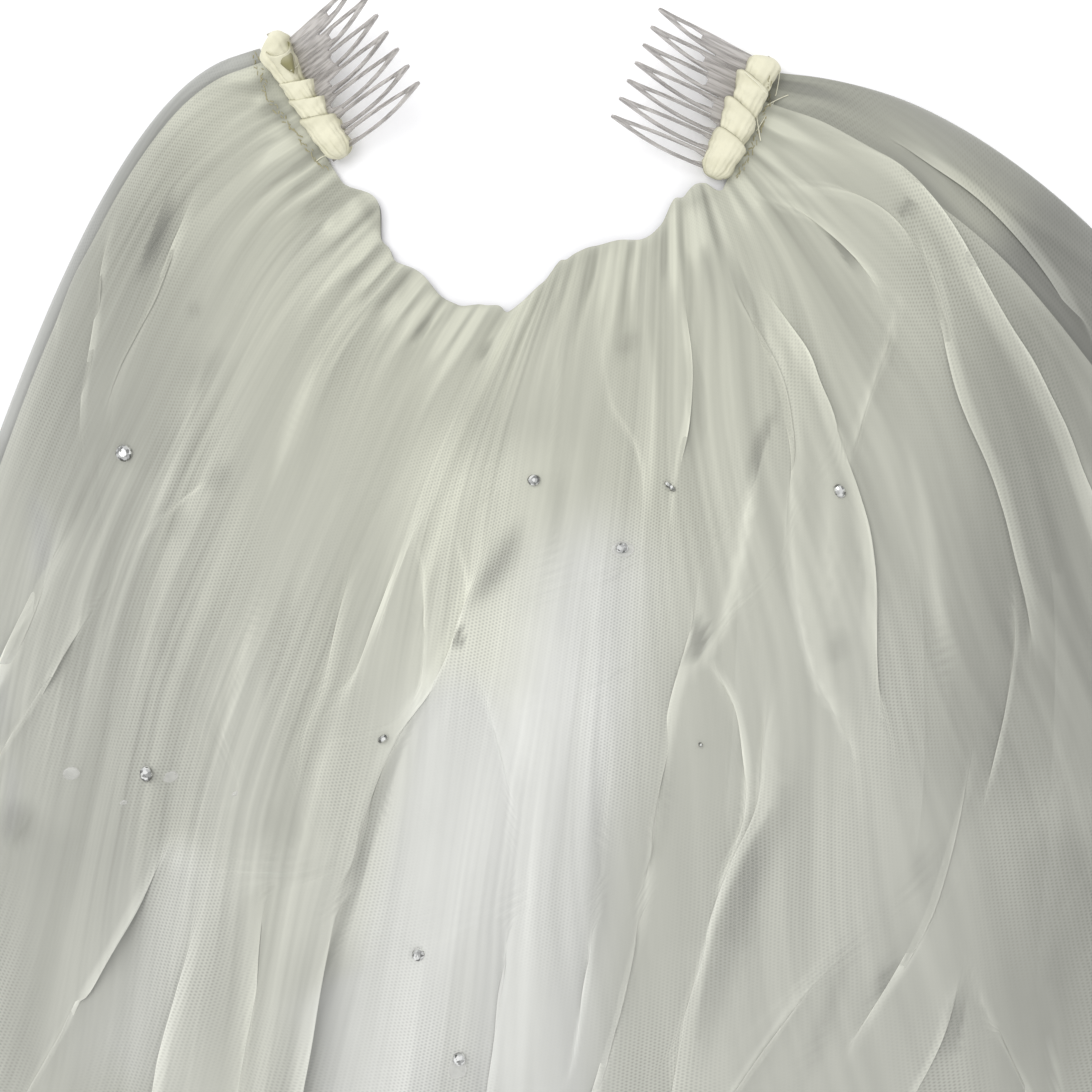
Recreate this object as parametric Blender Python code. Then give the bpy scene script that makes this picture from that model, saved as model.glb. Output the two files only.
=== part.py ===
# A two-tier bridal veil of tulle, laid flat and fanned out from its gathered heading.
# Both tiers hang from one folded, gathered heading that runs in a U between two clear
# plastic side combs, and a twisted ribbon binds each comb's rail to the heading.
# Units are metres, +Z is up, and tables of points are in millimetres.
import math

import bmesh
import bpy
from mathutils import Vector

MM = 0.001

# Driving sizes
CLOTH_WALL = 0.0011  # the tulle as a stiff sheet
SEAM_GAP = 0.0003  # between pieces that are sewn or laid together
HEADING_DEPTH = 0.008  # how far the folded heading reaches over each tier
UPPER_LEFT_COLUMNS = 3  # columns by which the upper tier is narrower on its left
UPPER_RIGHT_COLUMNS = 5  # and on its right
COMB_PITCH = 0.0053  # from one tooth's root to the next
COMB_SPREAD = 0.09  # by how much wider the row of tips is than the row of roots
COMB_TEETH = 7
COMB_THICKNESS = 0.0016
COMB_CURL = 30  # degrees that the teeth curve up from root to tip
RAIL_LENGTH = 0.0382
RAIL_HALF_WIDTH = 0.0025
TOOTH_FLAT = 0.0058  # the rail and the tooth roots are flat up to here
TOOTH_REACH = 0.0375  # from the rail's middle line to a tip, along the tooth
RAIL_HEIGHT = 0.00475  # the rail's middle above the table
RAIL_FROM_HEADING = 0.0035  # so that the ribbon just clears the heading's fold
WRAP_LENGTH = 0.0400

# The heading's inner edge between the combs, seen from above, from left to right
HEADING_BEND_MM = (
    ("x", "y"),
    (-63.0, 112.0),
    (-54.2, 98.7),
    (-43.6, 82.9),
    (-22.9, 70.9),
    (-12.8, 69.8),
    (-1.4, 78.9),
    (9.1, 86.8),
    (27.5, 91.2),
    (41.0, 98.6),
    (53.3, 107.5),
)
LEFT_END_MM = (-86.6, 150.4)
RIGHT_END_MM = (69.1, 143.1)
LEFT_COMB_SHARE = 0.207  # the stretch of heading that each comb takes
RIGHT_COMB_SHARE = 0.830

# How the cloth leaves the heading and where it comes to lie. Angles are in degrees from
# straight down the fan, positive to the right; pulls say how far each end keeps its angle.
FAN = (
    ("share", "leaves_deg", "leave_pull", "hem_x", "hem_y", "hem_deg", "hem_pull"),
    (0.00, -72, 70, -310.0, -372.0, -24, 250),
    (0.10, -62, 85, -293.0, -412.0, -24, 240),
    (0.21, -50, 105, -265.0, -448.0, -24, 230),
    (0.35, -41, 130, -217.0, -481.0, -22, 210),
    (0.50, -30, 155, -157.0, -505.0, -20, 195),
    (0.60, -18, 170, -103.0, -517.0, -19, 185),
    (0.70, -7, 175, -37.0, -521.0, -17, 190),
    (0.78, 8, 170, 34.0, -515.0, -16, 200),
    (0.86, 38, 150, 124.0, -490.0, -15, 215),
    (0.93, 62, 140, 205.0, -445.0, -14, 230),
    (1.00, 84, 137, 267.0, -376.0, -14, 240),
)

# Rows of the cloth, as shares of the way from the heading to the hem
LOWER_ROWS = (0.0, 0.02, 0.05, 0.09, 0.135, 0.19, 0.26, 0.34, 0.44, 0.55, 0.66, 0.78, 0.90, 1.0)
UPPER_ROWS = LOWER_ROWS[:12]
CORNER_SHARE = 0.075  # the stretch of the hem that rounds off each corner
CORNER_DROP = 0.14
FLUTE_ROWS = (0.0, 0.05, 0.38, 1.0)  # where the flutes' heights are stated

# Flutes that run from the gathers to the hem, left to right. The width is a share of
# the heading once all widths are added up, and the heights are in millimetres.
FLUTES = (
    ("width", "at_gathers", "at_middle", "at_hem"),
    (0.8, 1.0, 3.0, 0.0),
    (1.1, 2.0, 5.5, 6.5),
    (0.9, 1.6, 0.0, 0.0),
    (1.0, 2.2, 4.0, 3.0),
    (1.2, 1.8, 6.5, 8.5),
    (0.8, 1.4, 0.0, 0.0),
    (1.0, 2.6, 5.0, 5.5),
    (0.9, 2.0, 2.5, 0.0),
    (1.3, 2.8, 7.0, 9.0),
    (0.8, 1.8, 0.0, 0.0),
    (1.0, 2.4, 4.5, 4.0),
    (1.1, 2.8, 6.0, 7.5),
    (0.8, 1.6, 0.0, 2.0),
    (1.2, 2.6, 6.5, 0.0),
    (0.9, 2.2, 3.0, 5.5),
    (1.1, 2.8, 7.0, 8.0),
    (0.8, 1.8, 0.0, 0.0),
    (1.0, 2.4, 5.0, 6.0),
    (1.2, 2.8, 6.5, 8.5),
    (0.8, 1.6, 2.0, 0.0),
    (1.0, 2.2, 4.5, 5.0),
    (1.1, 2.4, 6.0, 7.0),
    (0.9, 1.6, 0.0, 0.0),
    (1.0, 2.0, 5.0, 6.0),
    (1.1, 1.6, 4.0, 4.5),
    (0.8, 0.8, 2.0, 0.0),
)
FLUTE_PROFILE = ((0.0, 0.0), (0.28, 0.6), (0.5, 1.0), (0.72, 0.6))

# Broad folds of the upper tier alone: where they lie across the heading, how they
# wander by the hem, and their heights in millimetres.
UPPER_FOLDS = (
    ("share", "wander", "half_width", "at_gathers", "at_middle", "at_hem"),
    (0.09, -0.02, 0.050, 1.0, 5.0, 3.0),
    (0.20, 0.02, 0.045, 1.5, 6.0, 7.0),
    (0.31, -0.03, 0.040, 2.0, 4.0, 8.0),
    (0.42, 0.02, 0.045, 1.5, 7.0, 5.0),
    (0.52, -0.02, 0.035, 2.5, 5.0, 8.0),
    (0.62, 0.02, 0.050, 2.0, 8.0, 6.0),
    (0.71, -0.03, 0.035, 2.5, 5.0, 9.0),
    (0.80, 0.01, 0.040, 2.0, 7.0, 6.0),
    (0.89, 0.02, 0.045, 1.5, 6.0, 7.0),
)
UPPER_BRIDGE = 0.5  # how far the upper tier spans the flutes instead of sinking in

# The soft rise of the upper tier behind the heading, in millimetres
POUF_ROWS = (0.0, 0.03, 0.08, 0.17, 0.30, 0.50)
POUF_MM = (0.0, 3.0, 6.0, 5.0, 2.0, 0.0)

# Lobes of the gathered heading between the combs: how far each one swells towards the
# opening and how far it rises, in millimetres.
LOBES = (
    ("share", "half_width", "swell", "rise"),
    (0.268, 0.053, 5.8, 2.0),
    (0.325, 0.020, 1.5, 0.8),
    (0.376, 0.050, 3.0, 1.8),
    (0.470, 0.030, 3.0, 1.4),
    (0.490, 0.020, 2.4, 0.8),
    (0.586, 0.020, 2.5, 1.4),
    (0.634, 0.073, 1.7, 2.6),
    (0.680, 0.042, 1.5, 1.2),
    (0.752, 0.020, 2.9, 0.8),
    (0.772, 0.070, 4.9, 2.2),
    (0.801, 0.050, 2.8, 0.6),
)
LOBE_FADE = 0.020  # the lobes fade out over this stretch before each comb
HEADING_HEIGHT_MM = (("share", "height"), (0.0, 3.3), (0.20, 3.6), (0.27, 5.2), (0.50, 5.8),
                     (0.70, 6.0), (0.79, 5.2), (0.84, 3.6), (1.0, 3.3))
GATHER_RIPPLE = 0.16  # of the heading's height, from a gather's valley to its crest

# The hairpin section of the heading: out from its nose, and up as a share of its height
HEADING_OUTSIDE = (
    ("out_mm", "up_share"), (8.0, 0.0), (2.3, 0.0), (0.0, 0.46), (2.5, 0.97), (8.0, 1.0)
)
# How each point of that section moves to the inside of the wall: out and up, in walls
HEADING_INWARD = (("out_walls", "up_walls"), (0, 1), (0.5, 1), (1, 0), (0.5, -1), (0, -1))

# A tooth is two legs that part at the rail and close at the tip. Both tables run from
# the rail outwards.
TOOTH_OUTLINE_MM = (
    ("out", "half_width"),
    (2.5, 2.42),
    (9.0, 2.42),
    (15.0, 2.40),
    (20.0, 2.20),
    (25.0, 1.80),
    (29.0, 1.35),
    (33.5, 0.85),
    (36.6, 0.55),
)
TOOTH_SLOT_MM = (
    ("out", "half_width"),
    (4.2, 0.90),
    (9.0, 1.45),
    (15.0, 1.42),
    (20.0, 1.22),
    (25.0, 0.82),
    (29.0, 0.38),
)
SLOT_END_MM = 31.4

# Combs: the stretch of heading that each one lies along, and how far it is rolled back
# about its rail so that its tips stand up from the table
COMBS = (
    ("side", "from_share", "to_share", "roll_deg"),
    ("left", 0.0, LEFT_COMB_SHARE, 22.0),
    ("right", 0.845, 1.0, 4.0),
)

# The ribbon's section round the rail, from its upper lip over the back to its lower lip.
# Back is away from the teeth; up is from the rail's middle.
WRAP_OUTSIDE_MM = (
    ("back", "up"),
    (-5.0, 2.6),
    (-3.2, 3.9),
    (0.0, 4.7),
    (2.6, 4.2),
    (4.1, 1.9),
    (4.1, -1.9),
    (2.6, -4.1),
    (0.0, -4.6),
    (-3.2, -3.9),
    (-5.0, -2.6),
)
WRAP_INSIDE_MM = (
    ("back", "up"),
    (-5.0, 1.15),
    (-3.2, 1.15),
    (0.0, 1.15),
    (2.85, 1.15),
    (2.85, 0.5),
    (2.85, -0.5),
    (2.85, -1.15),
    (0.0, -1.15),
    (-3.2, -1.15),
    (-5.0, -1.15),
)
# Turns of ribbon along each rail: place from -1 to 1, and how far it swells upwards
WRAP_TURNS = {
    "left": ((-0.98, 0.70), (-0.74, 0.98), (-0.52, 0.80), (-0.30, 1.02), (-0.08, 0.78), (0.12, 1.00),
             (0.30, 0.78), (0.46, 1.12), (0.64, 1.40), (0.82, 1.34), (0.98, 0.84)),
    "right": ((-0.98, 0.74), (-0.76, 1.18), (-0.55, 1.24), (-0.36, 0.80), (-0.16, 1.14), (0.04, 1.22),
              (0.22, 0.80), (0.42, 1.10), (0.62, 1.22), (0.82, 1.10), (0.98, 0.74)),
}

TULLE = ("ivory_nylon_tulle", (0.80, 0.80, 0.75), 0.75)
CLEAR_PLASTIC = ("clear_moulded_plastic", (0.86, 0.85, 0.84), 0.2)
CREPE_RIBBON = ("ivory_crepe_ribbon", (0.84, 0.82, 0.70), 0.85)


def rows_of(table):
    """The rows of a table as dictionaries, by the names in its first row."""
    return [dict(zip(table[0], row)) for row in table[1:]]


def ease(t):
    """0 to 1 with a soft start and end."""
    t = min(1.0, max(0.0, t))
    return t * t * (3 - 2 * t)


def between(places, values, at):
    """A smooth value between the nearest two stated ones."""
    for low, high, first, last in zip(places, places[1:], values, values[1:]):
        if at <= high:
            return first + (last - first) * ease((at - low) / (high - low))
    return values[-1]


def curve_at(places, values, at):
    """A value on a smooth curve through all the stated ones, with no flat steps."""
    last = len(places) - 1
    k = next((i for i in range(last) if at <= places[i + 1]), last - 1)

    def slope(i):
        low, high = max(0, i - 1), min(last, i + 1)
        return (values[high] - values[low]) / (places[high] - places[low])

    span = places[k + 1] - places[k]
    t = min(1.0, max(0.0, (at - places[k]) / span))
    first = (1 + 2 * t) * (1 - t) ** 2 * values[k] + t * (1 - t) ** 2 * span * slope(k)
    return first + t * t * (3 - 2 * t) * values[k + 1] - t * t * (1 - t) * span * slope(k + 1)


def column(table, name):
    return [row[name] for row in rows_of(table)]


def bump(distance, half_width):
    """1 in the middle and 0 from the half width on."""
    x = abs(distance) / half_width
    return math.cos(x * math.pi / 2) ** 2 if x < 1 else 0.0


def leaving_direction(share):
    """The way the cloth runs where it leaves the heading."""
    angle = math.radians(curve_at(column(FAN, "share"), column(FAN, "leaves_deg"), share))
    return Vector((math.sin(angle), -math.cos(angle)))


def heading_line(share):
    """A point on the heading's inner edge, without its lobes."""
    bend = [Vector((x * MM, y * MM)) for x, y in HEADING_BEND_MM[1:]]
    if share <= LEFT_COMB_SHARE:
        return Vector(LEFT_END_MM).lerp(bend[0] / MM, share / LEFT_COMB_SHARE) * MM
    if share >= RIGHT_COMB_SHARE:
        along = (share - RIGHT_COMB_SHARE) / (1 - RIGHT_COMB_SHARE)
        return (bend[-1] / MM).lerp(Vector(RIGHT_END_MM), along) * MM
    lengths = [0.0]
    for a, b in zip(bend, bend[1:]):
        lengths.append(lengths[-1] + (b - a).length)
    along = (share - LEFT_COMB_SHARE) / (RIGHT_COMB_SHARE - LEFT_COMB_SHARE) * lengths[-1]
    return Vector([curve_at(lengths, [p[axis] for p in bend], along) for axis in (0, 1)])


def lobes_at(share):
    """How far the heading's lobes swell and rise there."""
    swell = rise = 0.0
    for lobe in rows_of(LOBES):
        part = bump(share - lobe["share"], lobe["half_width"])
        swell += lobe["swell"] * part
        rise += lobe["rise"] * part
    from_comb = min(share - LEFT_COMB_SHARE, RIGHT_COMB_SHARE - share)
    fade = ease(from_comb / LOBE_FADE) * MM
    return swell * fade, rise * fade


def heading_nose(share):
    return heading_line(share) - leaving_direction(share) * lobes_at(share)[0]


def hem_point(share):
    places = column(FAN, "share")
    return Vector([curve_at(places, column(FAN, name), share) * MM for name in ("hem_x", "hem_y")])


def cloth_point(share, way):
    """A point of the cloth from above: way is 0 at the heading and 1 at the hem."""
    places = column(FAN, "share")
    leave_pull, hem_deg, hem_pull = (
        curve_at(places, column(FAN, name), share) for name in ("leave_pull", "hem_deg", "hem_pull")
    )
    corner = max(0.0, 1 - min(share, 1 - share) / CORNER_SHARE)
    way *= 1 - CORNER_DROP * (1 - math.sqrt(1 - corner * corner))
    leaves = leaving_direction(share)
    start = heading_line(share) + leaves * (HEADING_DEPTH + SEAM_GAP)
    lands = Vector((math.sin(math.radians(hem_deg)), -math.cos(math.radians(hem_deg))))
    end = hem_point(share)
    points = (start, start + leaves * leave_pull * MM, end - lands * hem_pull * MM, end)
    weights = ((1 - way) ** 3, 3 * way * (1 - way) ** 2, 3 * way * way * (1 - way), way**3)
    return sum((p * w for p, w in zip(points, weights)), Vector((0, 0)))


def cloth_columns():
    """Where the columns of the cloth lie, four to a flute: (share, profile, flute)."""
    flutes = rows_of(FLUTES)
    total = sum(flute["width"] for flute in flutes)
    columns, at = [], 0.0
    for flute in flutes:
        width = flute["width"] / total
        columns += [(at + width * place, height, flute) for place, height in FLUTE_PROFILE]
        at += width
    return [*columns, (1.0, 0.0, flutes[-1])]


def flute_height(flute, way):
    heights = (0.0, flute["at_gathers"], flute["at_middle"], flute["at_hem"])
    return between(FLUTE_ROWS, heights, way) * MM


def heading_height(share, profile):
    """The heading's height with its lobes and the ripple of its gathers."""
    base = between(column(HEADING_HEIGHT_MM, "share"), column(HEADING_HEIGHT_MM, "height"), share)
    return (base * MM + lobes_at(share)[1]) * (1 + GATHER_RIPPLE * (profile - 0.5))


def upper_fold_height(share, way):
    total = 0.0
    for fold in rows_of(UPPER_FOLDS):
        heights = (0.0, fold["at_gathers"], fold["at_middle"], fold["at_hem"])
        middle = fold["share"] + fold["wander"] * way
        total += between(FLUTE_ROWS, heights, way) * bump(share - middle, fold["half_width"])
    return total * MM


def steepness(grid):
    """For each point of a grid of heights, the length of its normal over its rise."""
    columns, rows = len(grid), len(grid[0])
    result = []
    for i in range(columns):
        line = []
        for j in range(rows):
            across = grid[min(i + 1, columns - 1)][j] - grid[max(i - 1, 0)][j]
            down = grid[i][min(j + 1, rows - 1)] - grid[i][max(j - 1, 0)]
            normal = across.cross(down)
            line.append(normal.length / abs(normal.z))
        result.append(line)
    return result


def raised(grid, walls):
    """The grid lifted straight up by so much of wall, measured square to the cloth."""
    steep = steepness(grid)
    return [
        [point + Vector((0, 0, walls * steep[i][j])) for j, point in enumerate(line)]
        for i, line in enumerate(grid)
    ]


def lower_underside():
    return [
        [
            cloth_point(share, way).to_3d() + Vector((0, 0, profile * flute_height(flute, way)))
            for way in LOWER_ROWS
        ]
        for share, profile, flute in cloth_columns()
    ]


def upper_underside(lower_top):
    """The upper tier's underside: on the lower tier, with its own folds and its pouf."""
    columns = cloth_columns()
    grid = []
    for (share, profile, flute), lower_line in zip(columns, lower_top):
        line = []
        start_height = heading_height(share, profile) - CLOTH_WALL
        for way, lower in zip(UPPER_ROWS, lower_line):
            bridge = UPPER_BRIDGE * (1 - profile) * flute_height(flute, way)
            pouf = between(POUF_ROWS, POUF_MM, way) * MM
            fade = 1 - ease(way / POUF_ROWS[3])
            lift = (start_height - lower.z - SEAM_GAP) * fade + bridge + pouf + upper_fold_height(share, way)
            line.append(lower + Vector((0, 0, SEAM_GAP + max(0.0, lift))))
        grid.append(line)
    return grid[UPPER_LEFT_COLUMNS:-UPPER_RIGHT_COLUMNS]


def heading_grids():
    """The outer and inner side of the folded heading, column by column."""
    outside, inside = [], []
    for share, profile, _ in cloth_columns():
        nose, out = heading_nose(share), leaving_direction(share)
        height = heading_height(share, profile)
        reach = HEADING_DEPTH + lobes_at(share)[0]
        outer_line, inner_line = [], []
        for point, inward in zip(rows_of(HEADING_OUTSIDE), rows_of(HEADING_INWARD)):
            far = point["out_mm"] * MM
            if far == HEADING_DEPTH:
                far = reach
            up = point["up_share"] * height
            deeper = far + inward["out_walls"] * CLOTH_WALL
            outer_line.append((nose + out * far).to_3d() + Vector((0, 0, up)))
            inner_line.append((nose + out * deeper).to_3d() + Vector((0, 0, up + inward["up_walls"] * CLOTH_WALL)))
        outside.append(outer_line)
        inside.append(inner_line)
    return outside, inside


def new_material(name, colour, roughness):
    material = bpy.data.materials.new(name)
    material.use_nodes = True
    shader = material.node_tree.nodes["Principled BSDF"]
    shader.inputs["Base Color"].default_value = (*colour, 1)
    shader.inputs["Roughness"].default_value = roughness
    shader.inputs["Metallic"].default_value = 0
    return material


def add_object(name, mesh, material, collection):
    mesh.materials.clear()
    mesh.materials.append(material)
    obj = bpy.data.objects.new(name, mesh)
    collection.objects.link(obj)
    return obj


def wall_between(name, first, second, material, collection):
    """A closed wall between two grids of points that match column by column."""
    columns, rows = len(first), len(first[0])
    bm = bmesh.new()
    bmesh.ops.create_grid(bm, x_segments=rows - 1, y_segments=columns - 1, size=0.5)
    cell = bm.verts.layers.int.new("cell")
    bm.verts.ensure_lookup_table()
    for number, vert in enumerate(bm.verts):
        vert[cell] = number
    made = bmesh.ops.extrude_face_region(bm, geom=bm.faces[:], use_keep_orig=True)
    moved = {item for item in made["geom"] if isinstance(item, bmesh.types.BMVert)}
    for vert in bm.verts:
        grid = second if vert in moved else first
        vert.co = grid[vert[cell] // rows][vert[cell] % rows]
    bmesh.ops.recalc_face_normals(bm, faces=bm.faces[:])
    mesh = bpy.data.meshes.new(name)
    bm.to_mesh(mesh)
    bm.free()
    mesh.shade_smooth()
    return add_object(name, mesh, material, collection)


def cloth_tiers(material, collection):
    """The two tiers. The upper one is laid on the lower one's own points."""
    underside = lower_underside()
    lower_top = raised(underside, CLOTH_WALL)
    wall_between("tulle_lower_tier", underside, lower_top, material, collection)
    upper_bottom = upper_underside(lower_top)
    upper_top = raised(upper_bottom, CLOTH_WALL)
    wall_between("tulle_upper_tier", upper_bottom, upper_top, material, collection)


def comb_outline():
    """The comb's rail and teeth as one flat outline, in the rail's own frame."""
    half = RAIL_LENGTH / 2
    points = [(-half, -RAIL_HALF_WIDTH), (half, -RAIL_HALF_WIDTH), (half, RAIL_HALF_WIDTH)]
    side = rows_of(TOOTH_OUTLINE_MM)
    for number in range(COMB_TEETH):
        middle = ((COMB_TEETH - 1) / 2 - number) * COMB_PITCH
        points += [(middle + p["half_width"] * MM, p["out"] * MM) for p in side]
        points.append((middle, TOOTH_REACH))
        points += [(middle - p["half_width"] * MM, p["out"] * MM) for p in reversed(side)]
    return [*points, (-half, RAIL_HALF_WIDTH)]


def comb_slots():
    """The slot between the two legs of each tooth."""
    side = rows_of(TOOTH_SLOT_MM)
    slots = []
    for number in range(COMB_TEETH):
        middle = ((COMB_TEETH - 1) / 2 - number) * COMB_PITCH
        slot = [(middle + p["half_width"] * MM, p["out"] * MM) for p in side]
        slot.append((middle, SLOT_END_MM * MM))
        slot += [(middle - p["half_width"] * MM, p["out"] * MM) for p in reversed(side)]
        slots.append(slot)
    return slots


def curled(out, up):
    """A point of the flat comb after its teeth are curled into an arc."""
    if out <= TOOTH_FLAT:
        return out, up
    radius = (TOOTH_REACH - TOOTH_FLAT) / math.radians(COMB_CURL)
    turn = (out - TOOTH_FLAT) / radius
    return (
        TOOTH_FLAT + (radius - up) * math.sin(turn),
        up * math.cos(turn) + radius * (1 - math.cos(turn)),
    )


def rolled(out, up, roll_deg):
    """A point of a comb's section after it is rolled back about its rail."""
    cos, sin = math.cos(math.radians(roll_deg)), math.sin(math.radians(roll_deg))
    return out * cos - up * sin, out * sin + up * cos


def rail_place(row):
    """The middle of a comb's rail beside the heading, and the way its teeth point."""
    first, last = (heading_line(row[name]) for name in ("from_share", "to_share"))
    along = (last - first).normalized()
    teeth = Vector((-along.y, along.x))
    middle = (first + last) / 2 + teeth * RAIL_FROM_HEADING
    return Vector((middle.x, middle.y, RAIL_HEIGHT)), teeth.to_3d()


def comb(row, material, collection):
    """One side comb: a flat outline curled up, with its rail beside the heading."""
    name = "comb_" + row["side"]
    flat = bpy.data.curves.new(name + "_outline", "CURVE")
    flat.dimensions = "2D"
    flat.fill_mode = "BOTH"
    flat.extrude = COMB_THICKNESS / 2
    for outline in [comb_outline(), *comb_slots()]:
        spline = flat.splines.new("POLY")
        spline.points.add(len(outline) - 1)
        for point, (x, y) in zip(spline.points, outline):
            point.co = (x, y, 0, 1)
        spline.use_cyclic_u = True
    drawn = bpy.data.objects.new(name + "_outline", flat)
    collection.objects.link(drawn)
    mesh = bpy.data.meshes.new_from_object(drawn.evaluated_get(bpy.context.evaluated_depsgraph_get()))
    bpy.data.objects.remove(drawn)
    bm = bmesh.new()
    bm.from_mesh(mesh)
    bmesh.ops.remove_doubles(bm, verts=bm.verts[:], dist=0.00001)
    for vert in bm.verts:
        wider = 1 + COMB_SPREAD * max(0.0, vert.co.y - RAIL_HALF_WIDTH) / TOOTH_REACH
        out, up = rolled(*curled(vert.co.y, vert.co.z), row["roll_deg"])
        vert.co = (vert.co.x * wider, out, up)
    bmesh.ops.recalc_face_normals(bm, faces=bm.faces[:])
    bm.to_mesh(mesh)
    bm.free()
    obj = add_object(name, mesh, material, collection)
    obj.location, teeth = rail_place(row)
    obj.rotation_euler.z = math.atan2(teeth.y, teeth.x) - math.pi / 2
    return obj


def comb_wrap(row, material, collection):
    """The twisted ribbon round a comb's rail, open towards the teeth."""
    rail, teeth = rail_place(row)
    along = Vector((0, 0, 1)).cross(teeth)
    if along.y < 0:
        along.negate()

    def section_point(middle, point, swell):
        out, up = rolled(-point["back"], point["up"] * swell, row["roll_deg"])
        return middle + teeth * out * MM + Vector((0, 0, up * MM))

    outside, inside = [], []
    for place, swell in WRAP_TURNS[row["side"]]:
        middle = rail + along * place * WRAP_LENGTH / 2
        outer_line = [
            section_point(middle, point, swell if point["up"] > 0 else min(1.0, swell))
            for point in rows_of(WRAP_OUTSIDE_MM)
        ]
        for point in outer_line:
            point.z = max(0.0, point.z)
        outside.append(outer_line)
        inside.append([section_point(middle, point, 1.0) for point in rows_of(WRAP_INSIDE_MM)])
    return wall_between("ribbon_wrap_" + row["side"], outside, inside, material, collection)


def centre_on_origin(objects):
    """Moves the whole veil so that the middle of its underside is the origin."""
    bpy.context.view_layer.update()
    corners = [obj.matrix_world @ v.co for obj in objects for v in obj.data.vertices]
    low = Vector([min(c[axis] for c in corners) for axis in range(3)])
    high = Vector([max(c[axis] for c in corners) for axis in range(3)])
    shift = Vector(((low.x + high.x) / 2, (low.y + high.y) / 2, low.z))
    for obj in objects:
        obj.location -= shift


def main():
    for obj in list(bpy.data.objects):
        bpy.data.objects.remove(obj)
    veil = bpy.data.collections.new("bridal_veil")
    bpy.context.scene.collection.children.link(veil)
    tulle, plastic, ribbon = (new_material(*finish) for finish in (TULLE, CLEAR_PLASTIC, CREPE_RIBBON))
    cloth_tiers(tulle, veil)
    wall_between("gathered_heading", *heading_grids(), tulle, veil)
    for row in rows_of(COMBS):
        comb(row, plastic, veil)
        comb_wrap(row, ribbon, veil)
    centre_on_origin(list(veil.objects))


main()
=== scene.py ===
"""Looks of the bridal veil: sheer tulle, clear combs, crepe ribbon, rhinestones, floor and light.

Everything is in metres in the frame of the solids. Tables in photo units hold places on the
photograph, which looks straight down: 0.30 mm to a unit, x to the right and y downwards.
"""
import logging
import math
import random
from dataclasses import dataclass, field
from enum import Enum

import bmesh
import bpy
import numpy as np
from mathutils import Matrix, Vector
from mathutils.bvhtree import BVHTree


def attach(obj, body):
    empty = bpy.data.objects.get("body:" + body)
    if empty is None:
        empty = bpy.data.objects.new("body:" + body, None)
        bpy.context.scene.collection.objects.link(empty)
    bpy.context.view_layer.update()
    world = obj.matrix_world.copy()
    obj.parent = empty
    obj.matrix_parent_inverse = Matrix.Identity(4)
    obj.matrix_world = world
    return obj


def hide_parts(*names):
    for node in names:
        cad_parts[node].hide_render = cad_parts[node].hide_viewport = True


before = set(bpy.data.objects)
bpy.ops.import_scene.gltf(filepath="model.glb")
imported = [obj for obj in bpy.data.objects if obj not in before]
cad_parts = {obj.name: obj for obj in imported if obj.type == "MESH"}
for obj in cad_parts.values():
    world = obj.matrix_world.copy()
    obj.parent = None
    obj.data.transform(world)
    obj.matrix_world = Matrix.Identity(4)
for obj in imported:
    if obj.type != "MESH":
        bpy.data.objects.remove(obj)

log = logging.getLogger("bridal_veil")

MM = 0.001
PHOTO_UNIT = 0.0003
PHOTO_SIDE = 1092
PHOTO_CENTRE = (0.00883929, 0.17845088)
Table = tuple[tuple, ...]


def rows_of(table: Table) -> list[dict]:
    """Read a table whose first row names its columns.

    Args:
        table: the names, then one row after another.

    Returns:
        One dictionary for each row.
    """
    return [dict(zip(table[0], row)) for row in table[1:]]


def column(table: Table, name: str) -> np.ndarray:
    """Take one named column of a table as numbers."""
    return np.array([row[name] for row in rows_of(table)], float)


def ease(t: np.ndarray) -> np.ndarray:
    """Go from 0 to 1 with a soft start and end."""
    t = np.clip(t, 0.0, 1.0)
    return t * t * (3 - 2 * t)


def bell(t: np.ndarray) -> np.ndarray:
    """Fall off softly to both sides of 0, where it is 1."""
    return np.exp(-(t**2))


def line_ends(along: np.ndarray, fade_in: float, fade_out: float) -> np.ndarray:
    """Go from 0 to 1 and back to 0 along a line.

    Args:
        along: shares of the line's length.
        fade_in: the share over which it comes in.
        fade_out: the share over which it goes out.

    Returns:
        Its strength at those shares.
    """
    return ease(along / fade_in) * ease((1 - along) / fade_out)


def smoothed(line: np.ndarray, passes: int) -> np.ndarray:
    """Average the values of a line with their neighbours, some passes over."""
    for _ in range(passes):
        line = np.convolve(np.pad(line, 1, mode="edge"), (0.25, 0.5, 0.25), mode="valid")
    return line


def smooth_down(grid: np.ndarray, passes: int) -> None:
    """Average the values along each row of a grid with their neighbours, and keep its ends.

    Args:
        grid: the values, which change in place.
        passes: how many times they are averaged.
    """
    for _ in range(passes):
        grid[:, 1:-1] = (grid[:, :-2] + 2 * grid[:, 1:-1] + grid[:, 2:]) / 4


def curve_through(places: np.ndarray, values: np.ndarray, at: np.ndarray) -> np.ndarray:
    """Follow a smooth curve through stated values.

    Args:
        places: where the values are stated, rising.
        values: the stated values.
        at: where the curve is wanted.

    Returns:
        The curve's values there.
    """
    places, values, at = np.asarray(places, float), np.asarray(values, float), np.asarray(at, float)
    number = np.arange(len(places))
    low, high = np.maximum(number - 1, 0), np.minimum(number + 1, len(places) - 1)
    slopes = (values[high] - values[low]) / (places[high] - places[low])
    k = np.clip(np.searchsorted(places, at) - 1, 0, len(places) - 2)
    span = places[k + 1] - places[k]
    t = np.clip((at - places[k]) / span, 0.0, 1.0)
    first = (1 + 2 * t) * (1 - t) ** 2 * values[k] + t * (1 - t) ** 2 * span * slopes[k]
    return first + t * t * (3 - 2 * t) * values[k + 1] - t * t * (1 - t) * span * slopes[k + 1]


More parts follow.
